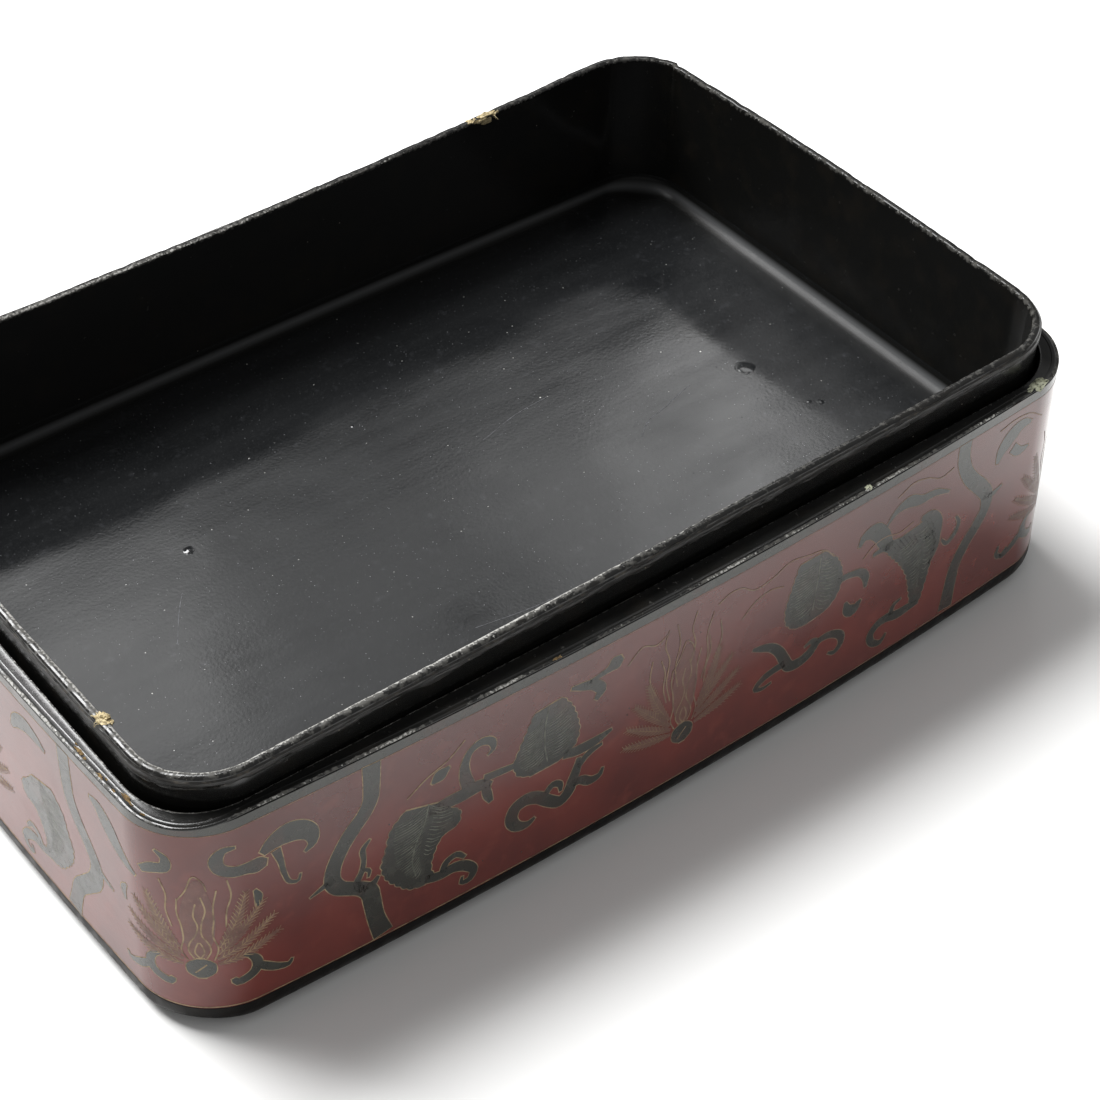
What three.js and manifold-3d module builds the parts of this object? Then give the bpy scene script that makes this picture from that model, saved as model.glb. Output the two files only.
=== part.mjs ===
// Lacquered food box with a lift-out tray, shown without anything in it.
// Millimetres, +Z up. The origin is on the table, under the middle of the box.
// +X runs along the long sides, and the near long side faces -Y.

import * as THREE from 'three';
import { mergeVertices } from 'three/addons/utils/BufferGeometryUtils.js';
import Module from 'manifold-3d';

const wasm = await Module();
wasm.setup();

// Box plan: a rectangle with round corners, whose sides bow outward
const boxLength = 311.5;
const boxWidth = 200;
const boxCornerRadius = 19.5;
const boxLongBow = 6;
const boxShortBow = 3;

// Box heights and walls
const ledgeHeight = 78;
const baseThickness = 9;
const skinThickness = 1;
const footFlare = 1.5;
const borderHeight = 3;
const ledgeStripThickness = 2;
const glueLine = 0.05;

// Turned-under lower edge of the base board
const baseTuck = { rise: 6, reach: 6.5, cornerReach: 5, steps: 5 };

// Tray plan, held by the box with a running gap all round
const ledgeInset = 2.75;
const trayGap = 1.25;
const trayCornerRadius = 21.5;
const trayLongBow = 1.25;
const trayShortBow = 0.5;

// Tray heights and walls
const trayHeight = 52.5;
const trayWall = 2.5;
const trayFloorThickness = 3;
const rimHeight = 11;
const bindingHeight = 4.5;
const bindingThickness = 0.4;

// Round fillet between the tray's walls and floor
const coveTuck = { rise: 5, reach: 4.5, cornerReach: 5, steps: 4 };
const coveEdge = 0.5;

// Bearer strips that carry the tray
const bearerWidth = 6;
const bearerHeight = 6;
const restGap = 0.3;

// Fineness of the outlines
const sideSteps = 10;
const cornerSteps = 8;
const lapSteps = 1;

// Half-lap joints take this share of the wall from its outer face
const lapShare = 0.5;

// One overrun for every cut that runs out of its piece
const overrun = 1;

const quarterTurn = Math.PI / 2;
const sideNames = ['front', 'right', 'back', 'left'];
const cornerNames = ['front_right', 'back_right', 'back_left', 'front_left'];
const spanSteps = sideSteps + cornerSteps;

const trayBottom = ledgeHeight + rimHeight - trayHeight;

const boxPlan = {
  halfLength: boxLength / 2,
  halfWidth: boxWidth / 2,
  cornerRadius: boxCornerRadius,
  longBow: boxLongBow,
  shortBow: boxShortBow,
};

const trayPlan = {
  halfLength: boxPlan.halfLength - ledgeInset - trayGap,
  halfWidth: boxPlan.halfWidth - ledgeInset - trayGap,
  cornerRadius: trayCornerRadius,
  longBow: trayLongBow,
  shortBow: trayShortBow,
};

const blackLacquer = { color: 0x191817, roughness: 0.32, metalness: 0 };
const floorLacquer = { color: 0x2c2d2e, roughness: 0.38, metalness: 0 };
const redLacquer = { color: 0x803c38, roughness: 0.3, metalness: 0 };
const greenLacquer = { color: 0x353b36, roughness: 0.35, metalness: 0 };
const lacqueredWood = { color: 0x2a211b, roughness: 0.5, metalness: 0 };
const bareWood = { color: 0x7a5f41, roughness: 0.7, metalness: 0 };

// A side's middle stands out by its bow, and its ends don't
function bow(plan, x, y) {
  const acrossShare = x / plan.halfLength;
  const alongShare = y / plan.halfWidth;
  return new THREE.Vector2(
    x + plan.shortBow * (1 - alongShare ** 2) * acrossShare,
    y + plan.longBow * (1 - acrossShare ** 2) * alongShare,
  );
}

// Points counter-clockwise from the near side's left end: a side, then its corner, four times
function planPoints(plan) {
  const coreX = plan.halfLength - plan.cornerRadius;
  const coreY = plan.halfWidth - plan.cornerRadius;
  const cores = [[-coreX, -coreY], [coreX, -coreY], [coreX, coreY], [-coreX, coreY]];
  const points = [];
  cores.forEach(([startX, startY], side) => {
    const [endX, endY] = cores[(side + 1) % cores.length];
    const facing = (side - 1) * quarterTurn;
    const outX = plan.cornerRadius * Math.cos(facing);
    const outY = plan.cornerRadius * Math.sin(facing);
    for (let step = 0; step < sideSteps; step += 1) {
      const along = step / sideSteps;
      points.push(bow(
        plan,
        THREE.MathUtils.lerp(startX, endX, along) + outX,
        THREE.MathUtils.lerp(startY, endY, along) + outY,
      ));
    }
    for (let step = 0; step < cornerSteps; step += 1) {
      const angle = facing + quarterTurn * step / cornerSteps;
      points.push(bow(
        plan,
        endX + plan.cornerRadius * Math.cos(angle),
        endY + plan.cornerRadius * Math.sin(angle),
      ));
    }
  });
  return points;
}

// The same points moved inward by inset, square to the outline
function insetPoints(points, inset) {
  return points.map((point, index) => {
    const before = points[(index + points.length - 1) % points.length];
    const after = points[(index + 1) % points.length];
    const along = after.clone().sub(before).normalize();
    return new THREE.Vector2(point.x - along.y * inset, point.y + along.x * inset);
  });
}

function prism(outline, height, hole = null) {
  const shape = new THREE.Shape(outline);
  if (hole) {
    shape.holes.push(new THREE.Path(hole));
  }
  return new THREE.ExtrudeGeometry(shape, { depth: height, bevelEnabled: false });
}

// Unit direction from the plan's straight core out to a point of its outline
function outwardFrom(plan, x, y) {
  const coreX = plan.halfLength - plan.cornerRadius;
  const coreY = plan.halfWidth - plan.cornerRadius;
  return new THREE.Vector2(
    x - THREE.MathUtils.clamp(x, -coreX, coreX),
    y - THREE.MathUtils.clamp(y, -coreY, coreY),
  ).normalize();
}

// A plate whose lower edge turns under in a quarter round, further at the corners.
// A skirt carries its footprint down below zero.
function tuckedPlate(plan, outline, height, tuck, skirt = 0) {
  const levels = [];
  if (skirt > 0) {
    levels.push({ z: -skirt, drawn: 1 });
  }
  for (let step = 0; step <= tuck.steps; step += 1) {
    const angle = quarterTurn * (1 - step / tuck.steps);
    levels.push({ z: tuck.rise * (1 - Math.sin(angle)), drawn: 1 - Math.cos(angle) });
  }
  levels.push({ z: height, drawn: 0 });

  const stepCount = levels.length - 1;
  const geometry = new THREE.ExtrudeGeometry(new THREE.Shape(outline), {
    depth: stepCount,
    steps: stepCount,
    bevelEnabled: false,
  });
  const places = geometry.attributes.position;
  for (let index = 0; index < places.count; index += 1) {
    const level = levels[Math.round(places.getZ(index))];
    const x = places.getX(index);
    const y = places.getY(index);
    const outward = outwardFrom(plan, x, y);
    const diagonalShare = (2 * outward.x * outward.y) ** 2;
    const drawn = level.drawn * (tuck.reach + tuck.cornerReach * diagonalShare);
    places.setXYZ(index, x - outward.x * drawn, y - outward.y * drawn, level.z);
  }
  geometry.computeVertexNormals();
  return geometry;
}

// A ring whose outer face leans out toward the bottom by flare
function flaredHoop(plan, outline, hole, height, flare) {
  const hoop = prism(outline, height, hole);
  const places = hoop.attributes.position;
  const keyOf = (x, y) => `${Math.fround(x)} ${Math.fround(y)}`;
  const outerKeys = new Set(outline.map((point) => keyOf(point.x, point.y)));
  for (let index = 0; index < places.count; index += 1) {
    const x = places.getX(index);
    const y = places.getY(index);
    if (places.getZ(index) > 0 || !outerKeys.has(keyOf(x, y))) {
      continue;
    }
    const outward = outwardFrom(plan, x, y);
    places.setXY(index, x + outward.x * flare, y + outward.y * flare);
  }
  hoop.computeVertexNormals();
  return hoop;
}

function toManifold(geometry) {
  const plain = geometry.clone();
  plain.deleteAttribute('normal');
  plain.deleteAttribute('uv');
  const merged = mergeVertices(plain);
  return new wasm.Manifold(new wasm.Mesh({
    numProp: 3,
    vertProperties: new Float32Array(merged.attributes.position.array),
    triVerts: new Uint32Array(merged.index.array),
  }));
}

function fromManifold(solid) {
  const mesh = solid.getMesh();
  const geometry = new THREE.BufferGeometry();
  geometry.setAttribute('position', new THREE.BufferAttribute(mesh.vertProperties, 3));
  geometry.setIndex(new THREE.BufferAttribute(mesh.triVerts, 1));
  geometry.computeVertexNormals();
  return geometry;
}

// Stretch of a wall between two outlines, from point first to point last.
// A positive lap lengthens its inner half at both ends, a negative one its outer half.
function lappedStretch(outer, inner, first, last, lap) {
  const pick = (points, index) => points[(index + points.length) % points.length];
  const middle = outer.map((point, index) => point.clone().lerp(inner[index], lapShare));
  const outerFirst = first + Math.min(lap, 0);
  const outerLast = last - Math.min(lap, 0);
  const innerFirst = first - Math.max(lap, 0);
  const innerLast = last + Math.max(lap, 0);
  const points = [];
  for (let index = outerFirst; index <= outerLast; index += 1) {
    points.push(pick(outer, index));
  }
  if (lap !== 0) {
    points.push(pick(middle, outerLast));
    points.push(pick(middle, innerLast));
  }
  for (let index = innerLast; index >= innerFirst; index -= 1) {
    points.push(pick(inner, index));
  }
  if (lap !== 0) {
    points.push(pick(middle, innerFirst));
    points.push(pick(middle, outerFirst));
  }
  return points;
}

function addPiece(group, name, geometry, finish, bottom = 0) {
  const mesh = new THREE.Mesh(geometry, new THREE.MeshStandardMaterial(finish));
  mesh.name = name;
  mesh.position.z = bottom;
  group.add(mesh);
  return mesh;
}

// Four boards and four bent corner blocks, half-lapped, between two outlines
function addWalls(group, boardName, cornerName, outer, inner, bottom, height, finish) {
  sideNames.forEach((side, index) => {
    const first = index * spanSteps;
    const last = first + sideSteps;
    const board = lappedStretch(outer, inner, first, last, lapSteps);
    addPiece(group, `${boardName}_${side}`, prism(board, height), finish, bottom);
  });
  cornerNames.forEach((corner, index) => {
    const first = index * spanSteps + sideSteps + lapSteps;
    const last = (index + 1) * spanSteps - lapSteps;
    const block = lappedStretch(outer, inner, first, last, -lapSteps);
    addPiece(group, `${cornerName}_${corner}`, prism(block, height), finish, bottom);
  });
}

const boxOutline = planPoints(boxPlan);
const trayOutline = planPoints(trayPlan);
const wallFace = insetPoints(boxOutline, skinThickness);
const hollowOutline = insetPoints(trayOutline, -trayGap);
const trayInside = insetPoints(trayOutline, trayWall);

const box = new THREE.Group();

// Base board, with the foot band on its turned-under edge
const footOutline = insetPoints(boxOutline, -footFlare);
addPiece(box, 'base_board', tuckedPlate(boxPlan, footOutline, baseThickness, baseTuck), blackLacquer);

// Wall boards and corner blocks stand on the base board, up to the ledge strip
const wallBottom = baseThickness + glueLine;
const wallTop = ledgeHeight - ledgeStripThickness - glueLine;
addWalls(
  box,
  'wall_board',
  'corner_block',
  wallFace,
  hollowOutline,
  wallBottom,
  wallTop - wallBottom,
  lacqueredWood,
);

// Red lacquer skin round the walls, and the dark border hoop above it
const borderBottom = wallTop - borderHeight;
const skinHeight = borderBottom - glueLine - wallBottom;
addPiece(
  box,
  'field_skin',
  flaredHoop(boxPlan, boxOutline, wallFace, skinHeight, footFlare),
  redLacquer,
  wallBottom,
);
addPiece(box, 'border_hoop', prism(boxOutline, borderHeight, wallFace), greenLacquer, borderBottom);

// Ledge strip over the wall's top edge, where a cover sits
addPiece(
  box,
  'ledge_strip',
  prism(boxOutline, ledgeStripThickness, hollowOutline),
  blackLacquer,
  ledgeHeight - ledgeStripThickness,
);

// Bearer strips on the walls' inner faces, just under the tray
const bearerInside = insetPoints(hollowOutline, bearerWidth);
const bearerBottom = trayBottom - restGap - bearerHeight;
sideNames.forEach((side, index) => {
  const first = index * spanSteps;
  const strip = lappedStretch(hollowOutline, bearerInside, first, first + sideSteps, 0);
  addPiece(box, `bearer_${side}`, prism(strip, bearerHeight), bareWood, bearerBottom);
});

// Lift-out tray, which rests on the bearers
const tray = new THREE.Group();
tray.position.z = trayBottom;
box.add(tray);

addWalls(tray, 'tray_board', 'tray_corner', trayOutline, trayInside, 0, trayHeight, blackLacquer);
addPiece(tray, 'tray_floor', prism(trayInside, trayFloorThickness), floorLacquer);

const coveOutline = insetPoints(trayInside, coveEdge);
const coveBlank = toManifold(prism(trayInside, coveTuck.rise));
const coveHollow = toManifold(
  tuckedPlate(trayPlan, coveOutline, coveTuck.rise + overrun, coveTuck, overrun),
);
addPiece(
  tray,
  'tray_cove',
  fromManifold(coveBlank.subtract(coveHollow)),
  blackLacquer,
  trayFloorThickness + glueLine,
);

const bindingOutline = insetPoints(trayOutline, -bindingThickness);
addPiece(
  tray,
  'tray_rim_binding',
  prism(bindingOutline, bindingHeight, trayOutline),
  blackLacquer,
  trayHeight - bindingHeight,
);

export default box;
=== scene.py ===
# %% [markdown]
# A lacquered food box with a lift-out tray.
# The real box is thin wood, covered all over with many coats of lacquer.
# Red lacquer covers the outside, with dark leaves and gold lines painted on it.
# Black lacquer covers the ledge, the inside of the box and the tray.
# This lesson builds the finish of that box round a fixed frame of plain solids.
# The frame says where each piece is, so every new piece is made in its place.

# %% The fixed frame
import math

import bmesh
import bpy
import numpy as np
from mathutils import Matrix, Quaternion, Vector, noise


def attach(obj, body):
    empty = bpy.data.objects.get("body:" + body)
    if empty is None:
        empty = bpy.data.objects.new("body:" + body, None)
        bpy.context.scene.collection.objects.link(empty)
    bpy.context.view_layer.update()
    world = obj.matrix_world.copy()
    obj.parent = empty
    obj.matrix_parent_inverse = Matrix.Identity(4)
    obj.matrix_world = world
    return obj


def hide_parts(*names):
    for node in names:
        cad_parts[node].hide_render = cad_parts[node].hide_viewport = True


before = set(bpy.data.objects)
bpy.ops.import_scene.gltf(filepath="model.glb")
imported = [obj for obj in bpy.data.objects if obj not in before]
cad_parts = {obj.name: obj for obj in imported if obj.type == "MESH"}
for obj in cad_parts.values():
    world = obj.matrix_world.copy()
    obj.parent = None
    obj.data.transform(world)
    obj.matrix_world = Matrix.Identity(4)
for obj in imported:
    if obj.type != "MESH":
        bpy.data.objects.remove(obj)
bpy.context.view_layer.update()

MM = 0.001

# %% [markdown]
# A studio table and its light.
# A photographer of lacquer uses big soft lights, because lacquer is a mirror.
# What the eye reads as colour on a glossy wall is half paint and half table.
# The table is therefore white paper, and it washes over the walls from below.
# The main light hangs behind the box, to the left. Five smaller panels hang there
# too, each where the tray's floor mirrors it, and draw the pale patch on the floor.

# %% Colours and the node helper
def paint(hex_code):
    """Linear colour of an sRGB hex code such as 8A4440."""
    shares = [int(hex_code[place:place + 2], 16) / 255 for place in (0, 2, 4)]
    linear = [c / 12.92 if c <= 0.04045 else ((c + 0.055) / 1.055) ** 2.4 for c in shares]
    return (*linear, 1.0)


def add_node(tree, kind, inputs=None, **settings):
    """One shader node with its settings, and its sockets set or linked."""
    made = tree.nodes.new(kind)
    for name, value in settings.items():
        setattr(made, name, value)
    for socket, value in (inputs or {}).items():
        if isinstance(value, bpy.types.NodeSocket):
            tree.links.new(value, made.inputs[socket])
        else:
            made.inputs[socket].default_value = value
    return made


def new_finish(name):
    """An empty material with its shader and its object coordinates in metres."""
    finish = bpy.data.materials.new(name)
    finish.use_nodes = True
    tree = finish.node_tree
    shader = tree.nodes["Principled BSDF"]
    place = add_node(tree, "ShaderNodeTexCoord").outputs["Object"]
    return finish, tree, shader, place


def clear_selection():
    """Leaves edit mode and deselects everything."""
    if bpy.context.object and bpy.context.object.mode != "OBJECT":
        bpy.ops.object.mode_set(mode="OBJECT")
    bpy.ops.object.select_all(action="DESELECT")


# %% The table
# Matt white paper. It scatters light evenly, so the eye sees no shine on it, only a shadow.
TABLE_SIDE = 7.0

table_finish, tree, shader, place = new_finish("pale_table_paper")
shader.inputs["Base Color"].default_value = paint("F4F4F3")
shader.inputs["Roughness"].default_value = 0.9
shader.inputs["Specular IOR Level"].default_value = 0.2

clear_selection()
bpy.ops.mesh.primitive_plane_add(size=TABLE_SIDE)
table = bpy.context.object
table.name = "table_top"
table.data.materials.append(table_finish)
print("table of", TABLE_SIDE, "m")

# %% The lights
CAMERA_TURN = 38.37
PANEL_DISTANCE = 2.6
MIRRORED_RISE = 44
PATCH_SPIN = 35
ROOM_LIGHT = 0.34


def far_spot(turn, rise):
    """A panel's spot, in degrees right of the camera's aim and above the table."""
    side = math.radians(CAMERA_TURN + turn)
    rise = math.radians(rise)
    return (math.sin(side) * math.cos(rise) * PANEL_DISTANCE,
            math.cos(side) * math.cos(rise) * PANEL_DISTANCE,
            math.sin(rise) * PANEL_DISTANCE)


def soft_light(name, spot, size, power, spin=0):
    """A soft panel at spot, turned to the box and spun by degrees, in metres and watts."""
    clear_selection()
    bpy.ops.object.light_add(type="AREA", location=spot)
    lamp = bpy.context.object
    lamp.name = name
    lamp.data.shape = "RECTANGLE"
    lamp.data.size, lamp.data.size_y = size
    lamp.data.energy = power
    aim = -Vector(spot)
    spun = aim.to_track_quat("-Z", "Y") @ Quaternion((0, 0, 1), math.radians(spin))
    lamp.rotation_euler = spun.to_euler()
    print(name, "of", power, "watts")


def glow(name, right, up, size, radiance, spin=0):
    """A panel, right and up in metres from the spot that the floor's middle mirrors."""
    aim = Vector(far_spot(0, MIRRORED_RISE))
    side = math.radians(CAMERA_TURN)
    aside = Vector((math.cos(side), -math.sin(side), 0))
    spot = aim + aside * right + aside.cross(aim.normalized()) * up
    soft_light(name, spot, size, radiance * math.pi * size[0] * size[1], spin)


soft_light("key_from_behind", far_spot(-55, 56), (1.5, 1.5), 148)
glow("middle_glow", -0.395, 0.155, (0.65, 0.46), 0.85)
glow("inner_glow", 0.0815, 0.029, (0.18, 0.5), 1.5, PATCH_SPIN)
glow("bright_glow", 0.2131, -0.0266, (0.1, 0.5), 2.25, PATCH_SPIN)
glow("right_glow", 0.3196, -0.1012, (0.16, 0.5), 3.05, PATCH_SPIN)
glow("left_glow", -0.57, 0.2, (0.38, 0.32), 1.7)

room = bpy.data.worlds.new("studio_room")
bpy.context.scene.world = room
room.use_nodes = True
room_light = room.node_tree.nodes["Background"]
room_light.inputs["Color"].default_value = paint("FFFFFF")
room_light.inputs["Strength"].default_value = ROOM_LIGHT

# %% [markdown]
# The camera stands where the photographer stood.
# It looks down at 42.6 degrees over the near left corner, a little tilted.
# Its place follows from the point that it looks at, two angles and a distance,
# so that each of them can be changed without losing the others.

# %% The camera
LOOK_AT = Vector((32.92, -5.35, 0.0)) * MM
AZIMUTH = math.radians(-CAMERA_TURN)
ELEVATION = math.radians(42.62)
TILT = 0.0198
DISTANCE = 790.7 * MM
LENS = 82.97
FILM_WIDTH = 36

ahead = Vector((
    -math.sin(AZIMUTH) * math.cos(ELEVATION),
    math.cos(AZIMUTH) * math.cos(ELEVATION),
    -math.sin(ELEVATION),
))
level = Vector((math.cos(AZIMUTH), math.sin(AZIMUTH), 0))
upward = level.cross(ahead)
across = level * math.cos(TILT) + upward * math.sin(TILT)
upright = upward * math.cos(TILT) - level * math.sin(TILT)
clear_selection()
bpy.ops.object.camera_add(location=LOOK_AT - ahead * DISTANCE)
camera = bpy.context.object
camera.name = "studio_camera"
camera.data.sensor_width = FILM_WIDTH
camera.data.lens = LENS
camera.data.clip_start = 0.05
camera.data.clip_end = 20
camera.rotation_euler = Matrix((across, upright, -ahead)).transposed().to_euler()
bpy.context.scene.camera = camera
bpy.context.scene.view_settings.view_transform = "Standard"
print("camera at", [round(value, 3) for value in camera.location])

# %% [markdown]
# The outline of the box.
# Each side bows outward and runs into a round corner, so nothing on it is straight.
# The box and the tray have an outline each, with the same count of points.
# Point by point, one outline can then be bridged to the other or moved inward.

# %% Outlines of the box and the tray
BOX = {"length": 311.5, "width": 200, "radius": 19.5, "long_bow": 6, "short_bow": 3}
TRAY = {"length": 303.5, "width": 192, "radius": 21.5, "long_bow": 1.25, "short_bow": 0.5}
LONG_STEPS = 208
SHORT_STEPS = 128
CORNER_STEPS = 40


def outline(plan):
    """Points in mm, counter-clockwise from the near side's left end, and their outward directions."""
    half_x = plan["length"] / 2
    half_y = plan["width"] / 2
    core_x = half_x - plan["radius"]
    core_y = half_y - plan["radius"]
    cores = [(-core_x, -core_y), (core_x, -core_y), (core_x, core_y), (-core_x, core_y)]
    points = []
    for side in range(4):
        start, end = cores[side], cores[(side + 1) % 4]
        facing = (side - 1) * math.pi / 2
        steps = (LONG_STEPS, SHORT_STEPS)[side % 2]
        places = [(start[0] + (end[0] - start[0]) * k / steps,
                   start[1] + (end[1] - start[1]) * k / steps, facing) for k in range(steps)]
        places += [(*end, facing + math.pi / 2 * k / CORNER_STEPS) for k in range(CORNER_STEPS)]
        for middle_x, middle_y, angle in places:
            x = middle_x + plan["radius"] * math.cos(angle)
            y = middle_y + plan["radius"] * math.sin(angle)
            bowed_x = x + plan["short_bow"] * (1 - (y / half_y) ** 2) * (x / half_x)
            bowed_y = y + plan["long_bow"] * (1 - (x / half_x) ** 2) * (y / half_y)
            points.append((bowed_x, bowed_y))
    points = np.array(points)
    along = np.roll(points, -1, 0) - np.roll(points, 1, 0)
    along /= np.linalg.norm(along, axis=1)[:, None]
    outward = np.stack([along[:, 1], -along[:, 0]], 1)
    return points, outward


box_points, box_outward = outline(BOX)
tray_points, tray_outward = outline(TRAY)
RING = len(box_points)
steps_along = np.linalg.norm(np.roll(box_points, -1, 0) - box_points, axis=1)
arc = np.concatenate([[0], np.cumsum(steps_along)])
GIRTH = arc[-1]
arc = arc[:-1] - arc[LONG_STEPS // 2]
print("points round the box:", RING, "girth in mm:", round(GIRTH, 1))


# %% [markdown]
# A hoop is swept like a cooper's ring.
# A circle primitive has its points laid on the outline. In edit mode its edge is
# extruded from station to station of the section, and the last ring is bridged
# to the first. One function serves the skin, the bands, the walls and the rim.

# %% Sweeping a section round the box
def station(points, outward, offset, height):
    """One ring of the section, in metres: offset mm outward at height mm."""
    offset = np.broadcast_to(offset, (RING,))
    height = np.broadcast_to(height, (RING,))
    flat = points + outward * offset[:, None]
    return np.column_stack([flat, height]) * MM


def box_ring(offset, height):
    return station(box_points, box_outward, offset, height)


def tray_ring(offset, height):
    return station(tray_points, tray_outward, offset, height)


def ripple(points, size, seed):
    """Soft random values from -1 to 1 round an outline, in waves of about size mm."""
    return np.array([noise.noise(Vector((x / size, y / size, seed))) * 1.6 for x, y in points])


SMOOTH_UNDER = math.radians(40)


def sweep(name, rings, close="bridge", wear=None):
    """A circle primitive, extruded through the rings. wear holds 0 to 1 for each ring."""
    clear_selection()
    bpy.ops.mesh.primitive_circle_add(vertices=RING, radius=0.1)
    piece = bpy.context.object
    piece.name = name
    for vertex, spot in zip(piece.data.vertices, rings[0]):
        vertex.co = spot
    bpy.ops.object.mode_set(mode="EDIT")
    mesh = bmesh.from_edit_mesh(piece.data)
    place_of = mesh.verts.layers.int.new("place")
    worn = mesh.verts.layers.float.new("wear")
    wear = [np.broadcast_to(value, (RING,)) for value in (wear or [0] * len(rings))]
    for index, vertex in enumerate(mesh.verts):
        vertex[place_of] = index
        vertex[worn] = wear[0][index]
    bpy.ops.mesh.select_all(action="SELECT")
    for ring, values in zip(rings[1:], wear[1:]):
        bpy.ops.mesh.extrude_edges_move()
        mesh = bmesh.from_edit_mesh(piece.data)
        place_of = mesh.verts.layers.int["place"]
        worn = mesh.verts.layers.float["wear"]
        for vertex in mesh.verts:
            if vertex.select:
                vertex.co = ring[vertex[place_of]]
                vertex[worn] = values[vertex[place_of]]
        bmesh.update_edit_mesh(piece.data)
    mesh = bmesh.from_edit_mesh(piece.data)
    for edge in mesh.edges:
        edge.select_set(edge.is_boundary)
    bmesh.update_edit_mesh(piece.data)
    if close == "bridge":
        bpy.ops.mesh.bridge_edge_loops()
    elif close == "caps":
        bpy.ops.mesh.edge_face_add()
    bpy.ops.mesh.select_all(action="SELECT")
    bpy.ops.mesh.normals_make_consistent(inside=False)
    bpy.ops.object.mode_set(mode="OBJECT")
    piece.data.attributes.remove(piece.data.attributes["place"])
    bpy.ops.object.shade_smooth_by_angle(angle=SMOOTH_UNDER)
    return piece


def place_piece(piece, finish, body, nodes=()):
    """Gives a piece its finish, its body and the solids that it stands for."""
    piece.data.materials.clear()
    piece.data.materials.append(finish)
    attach(piece, body)
    if nodes:
        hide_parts(*nodes)
    print(piece.name, len(piece.data.polygons), "faces")
    return piece


SIDES = ("front", "right", "back", "left")
CORNERS = ("front_right", "back_right", "back_left", "front_left")

# %% [markdown]
# The finishes.
# Lacquer is tree sap, brushed on in many coats, dried hard and rubbed smooth.
# It is a clear gloss over a deep colour, like a pool of dark water. Its gloss is
# never perfect: brush waves bend what it mirrors, old age makes it cloudy, and
# hands and dust leave it a little rougher in patches. A photograph wrapped on the
# box would be simpler, but it could not be lit or turned. So each finish is a few
# soft patterns, sized in real millimetres, that steer colour, roughness and bump.

# %% Patterns that the finishes share
def patches(tree, place, size, low=0.4, high=0.6, stretch=(1, 1, 1), detail=3):
    """Soft patches about size mm across, from 0 to 1, longer along an axis by stretch."""
    shrink = [1 / part for part in stretch]
    drawn = add_node(tree, "ShaderNodeMapping", {"Vector": place, "Scale": shrink})
    cloud = add_node(tree, "ShaderNodeTexNoise", {
        "Vector": drawn.outputs["Vector"], "Scale": 1 / (size * MM), "Detail": detail})
    spread = add_node(tree, "ShaderNodeMapRange", {
        "Value": cloud.outputs["Fac"], "From Min": low, "From Max": high})
    return spread.outputs["Result"]


def specks(tree, place, gap, size, share):
    """Round specks about size mm across, one in a cell of gap mm, in a share of the cells."""
    cells = add_node(tree, "ShaderNodeTexVoronoi", {"Vector": place, "Scale": 1 / (gap * MM)})
    inside = add_node(tree, "ShaderNodeMapRange", {
        "Value": cells.outputs["Distance"], "From Min": size / gap * 0.6, "From Max": size / gap * 0.35})
    lot = add_node(tree, "ShaderNodeSeparateColor", {"Color": cells.outputs["Color"]})
    drawn = add_node(tree, "ShaderNodeMath", {0: lot.outputs["Red"], 1: share}, operation="LESS_THAN")
    both = add_node(tree, "ShaderNodeMath", {
        0: inside.outputs["Result"], 1: drawn.outputs["Value"]}, operation="MULTIPLY")
    return both.outputs["Value"]


def ramp(tree, place, axis, start, end, top=1.0):
    """Grows from 0 to top between two places in mm on one axis of the object."""
    spot = add_node(tree, "ShaderNodeSeparateXYZ", {"Vector": place}).outputs[axis]
    return add_node(tree, "ShaderNodeMapRange", {
        "Value": spot, "From Min": start * MM, "From Max": end * MM, "To Max": top}).outputs["Result"]


def rubbed(tree, place, size, start=0.5, end=0.62):
    """Where the mesh's wear value, broken up in patches of size mm, shows through."""
    wear = add_node(tree, "ShaderNodeAttribute", attribute_name="wear").outputs["Fac"]
    breaks = patches(tree, place, size, 0.25, 0.75)
    centred = add_node(tree, "ShaderNodeMath", {0: breaks, 1: 0.5}, operation="SUBTRACT")
    total = add_node(tree, "ShaderNodeMath", {0: wear, 1: centred.outputs["Value"]}, operation="ADD")
    return add_node(tree, "ShaderNodeMapRange", {
        "Value": total.outputs["Value"], "From Min": start, "From Max": end}).outputs["Result"]


# %% Colour, gloss and bumps
MIX_SHARE, MIX_FROM, MIX_TO, MIX_OUT = 0, 6, 7, 2
COMMON_SHINE = 0.5
COAT_FRONT = (-85, -100)
COAT_RISE = (2, 52)
COAT_PAST_CORNER = (-152, -115)


def coloured(tree, shader, base, layers):
    """A base colour with layers of (share, colour) laid over it in turn, as hex codes."""
    shade = paint(base)
    for share, colour in layers:
        layer = add_node(tree, "ShaderNodeMix", {
            MIX_SHARE: share, MIX_FROM: shade, MIX_TO: paint(colour)}, data_type="RGBA")
        shade = layer.outputs[MIX_OUT]
    tree.links.new(shade, shader.inputs["Base Color"])


def changed(tree, shader, socket, start, parts):
    """A socket of the shader, from its start value changed by each (share, amount)."""
    total = start
    for share, amount in parts:
        total = add_node(tree, "ShaderNodeMath", {
            0: share, 1: amount, 2: total}, operation="MULTIPLY_ADD").outputs["Value"]
    tree.links.new(total, shader.inputs[socket])


def raised(tree, shader, reliefs):
    """Bumps laid one on the other: each is (pattern, height in mm)."""
    way = None
    for pattern, height in reliefs:
        inputs = {"Height": pattern, "Distance": height * MM, "Strength": 1.0}
        if way is not None:
            inputs["Normal"] = way
        way = add_node(tree, "ShaderNodeBump", inputs).outputs["Normal"]
    tree.links.new(way, shader.inputs["Normal"])


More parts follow.
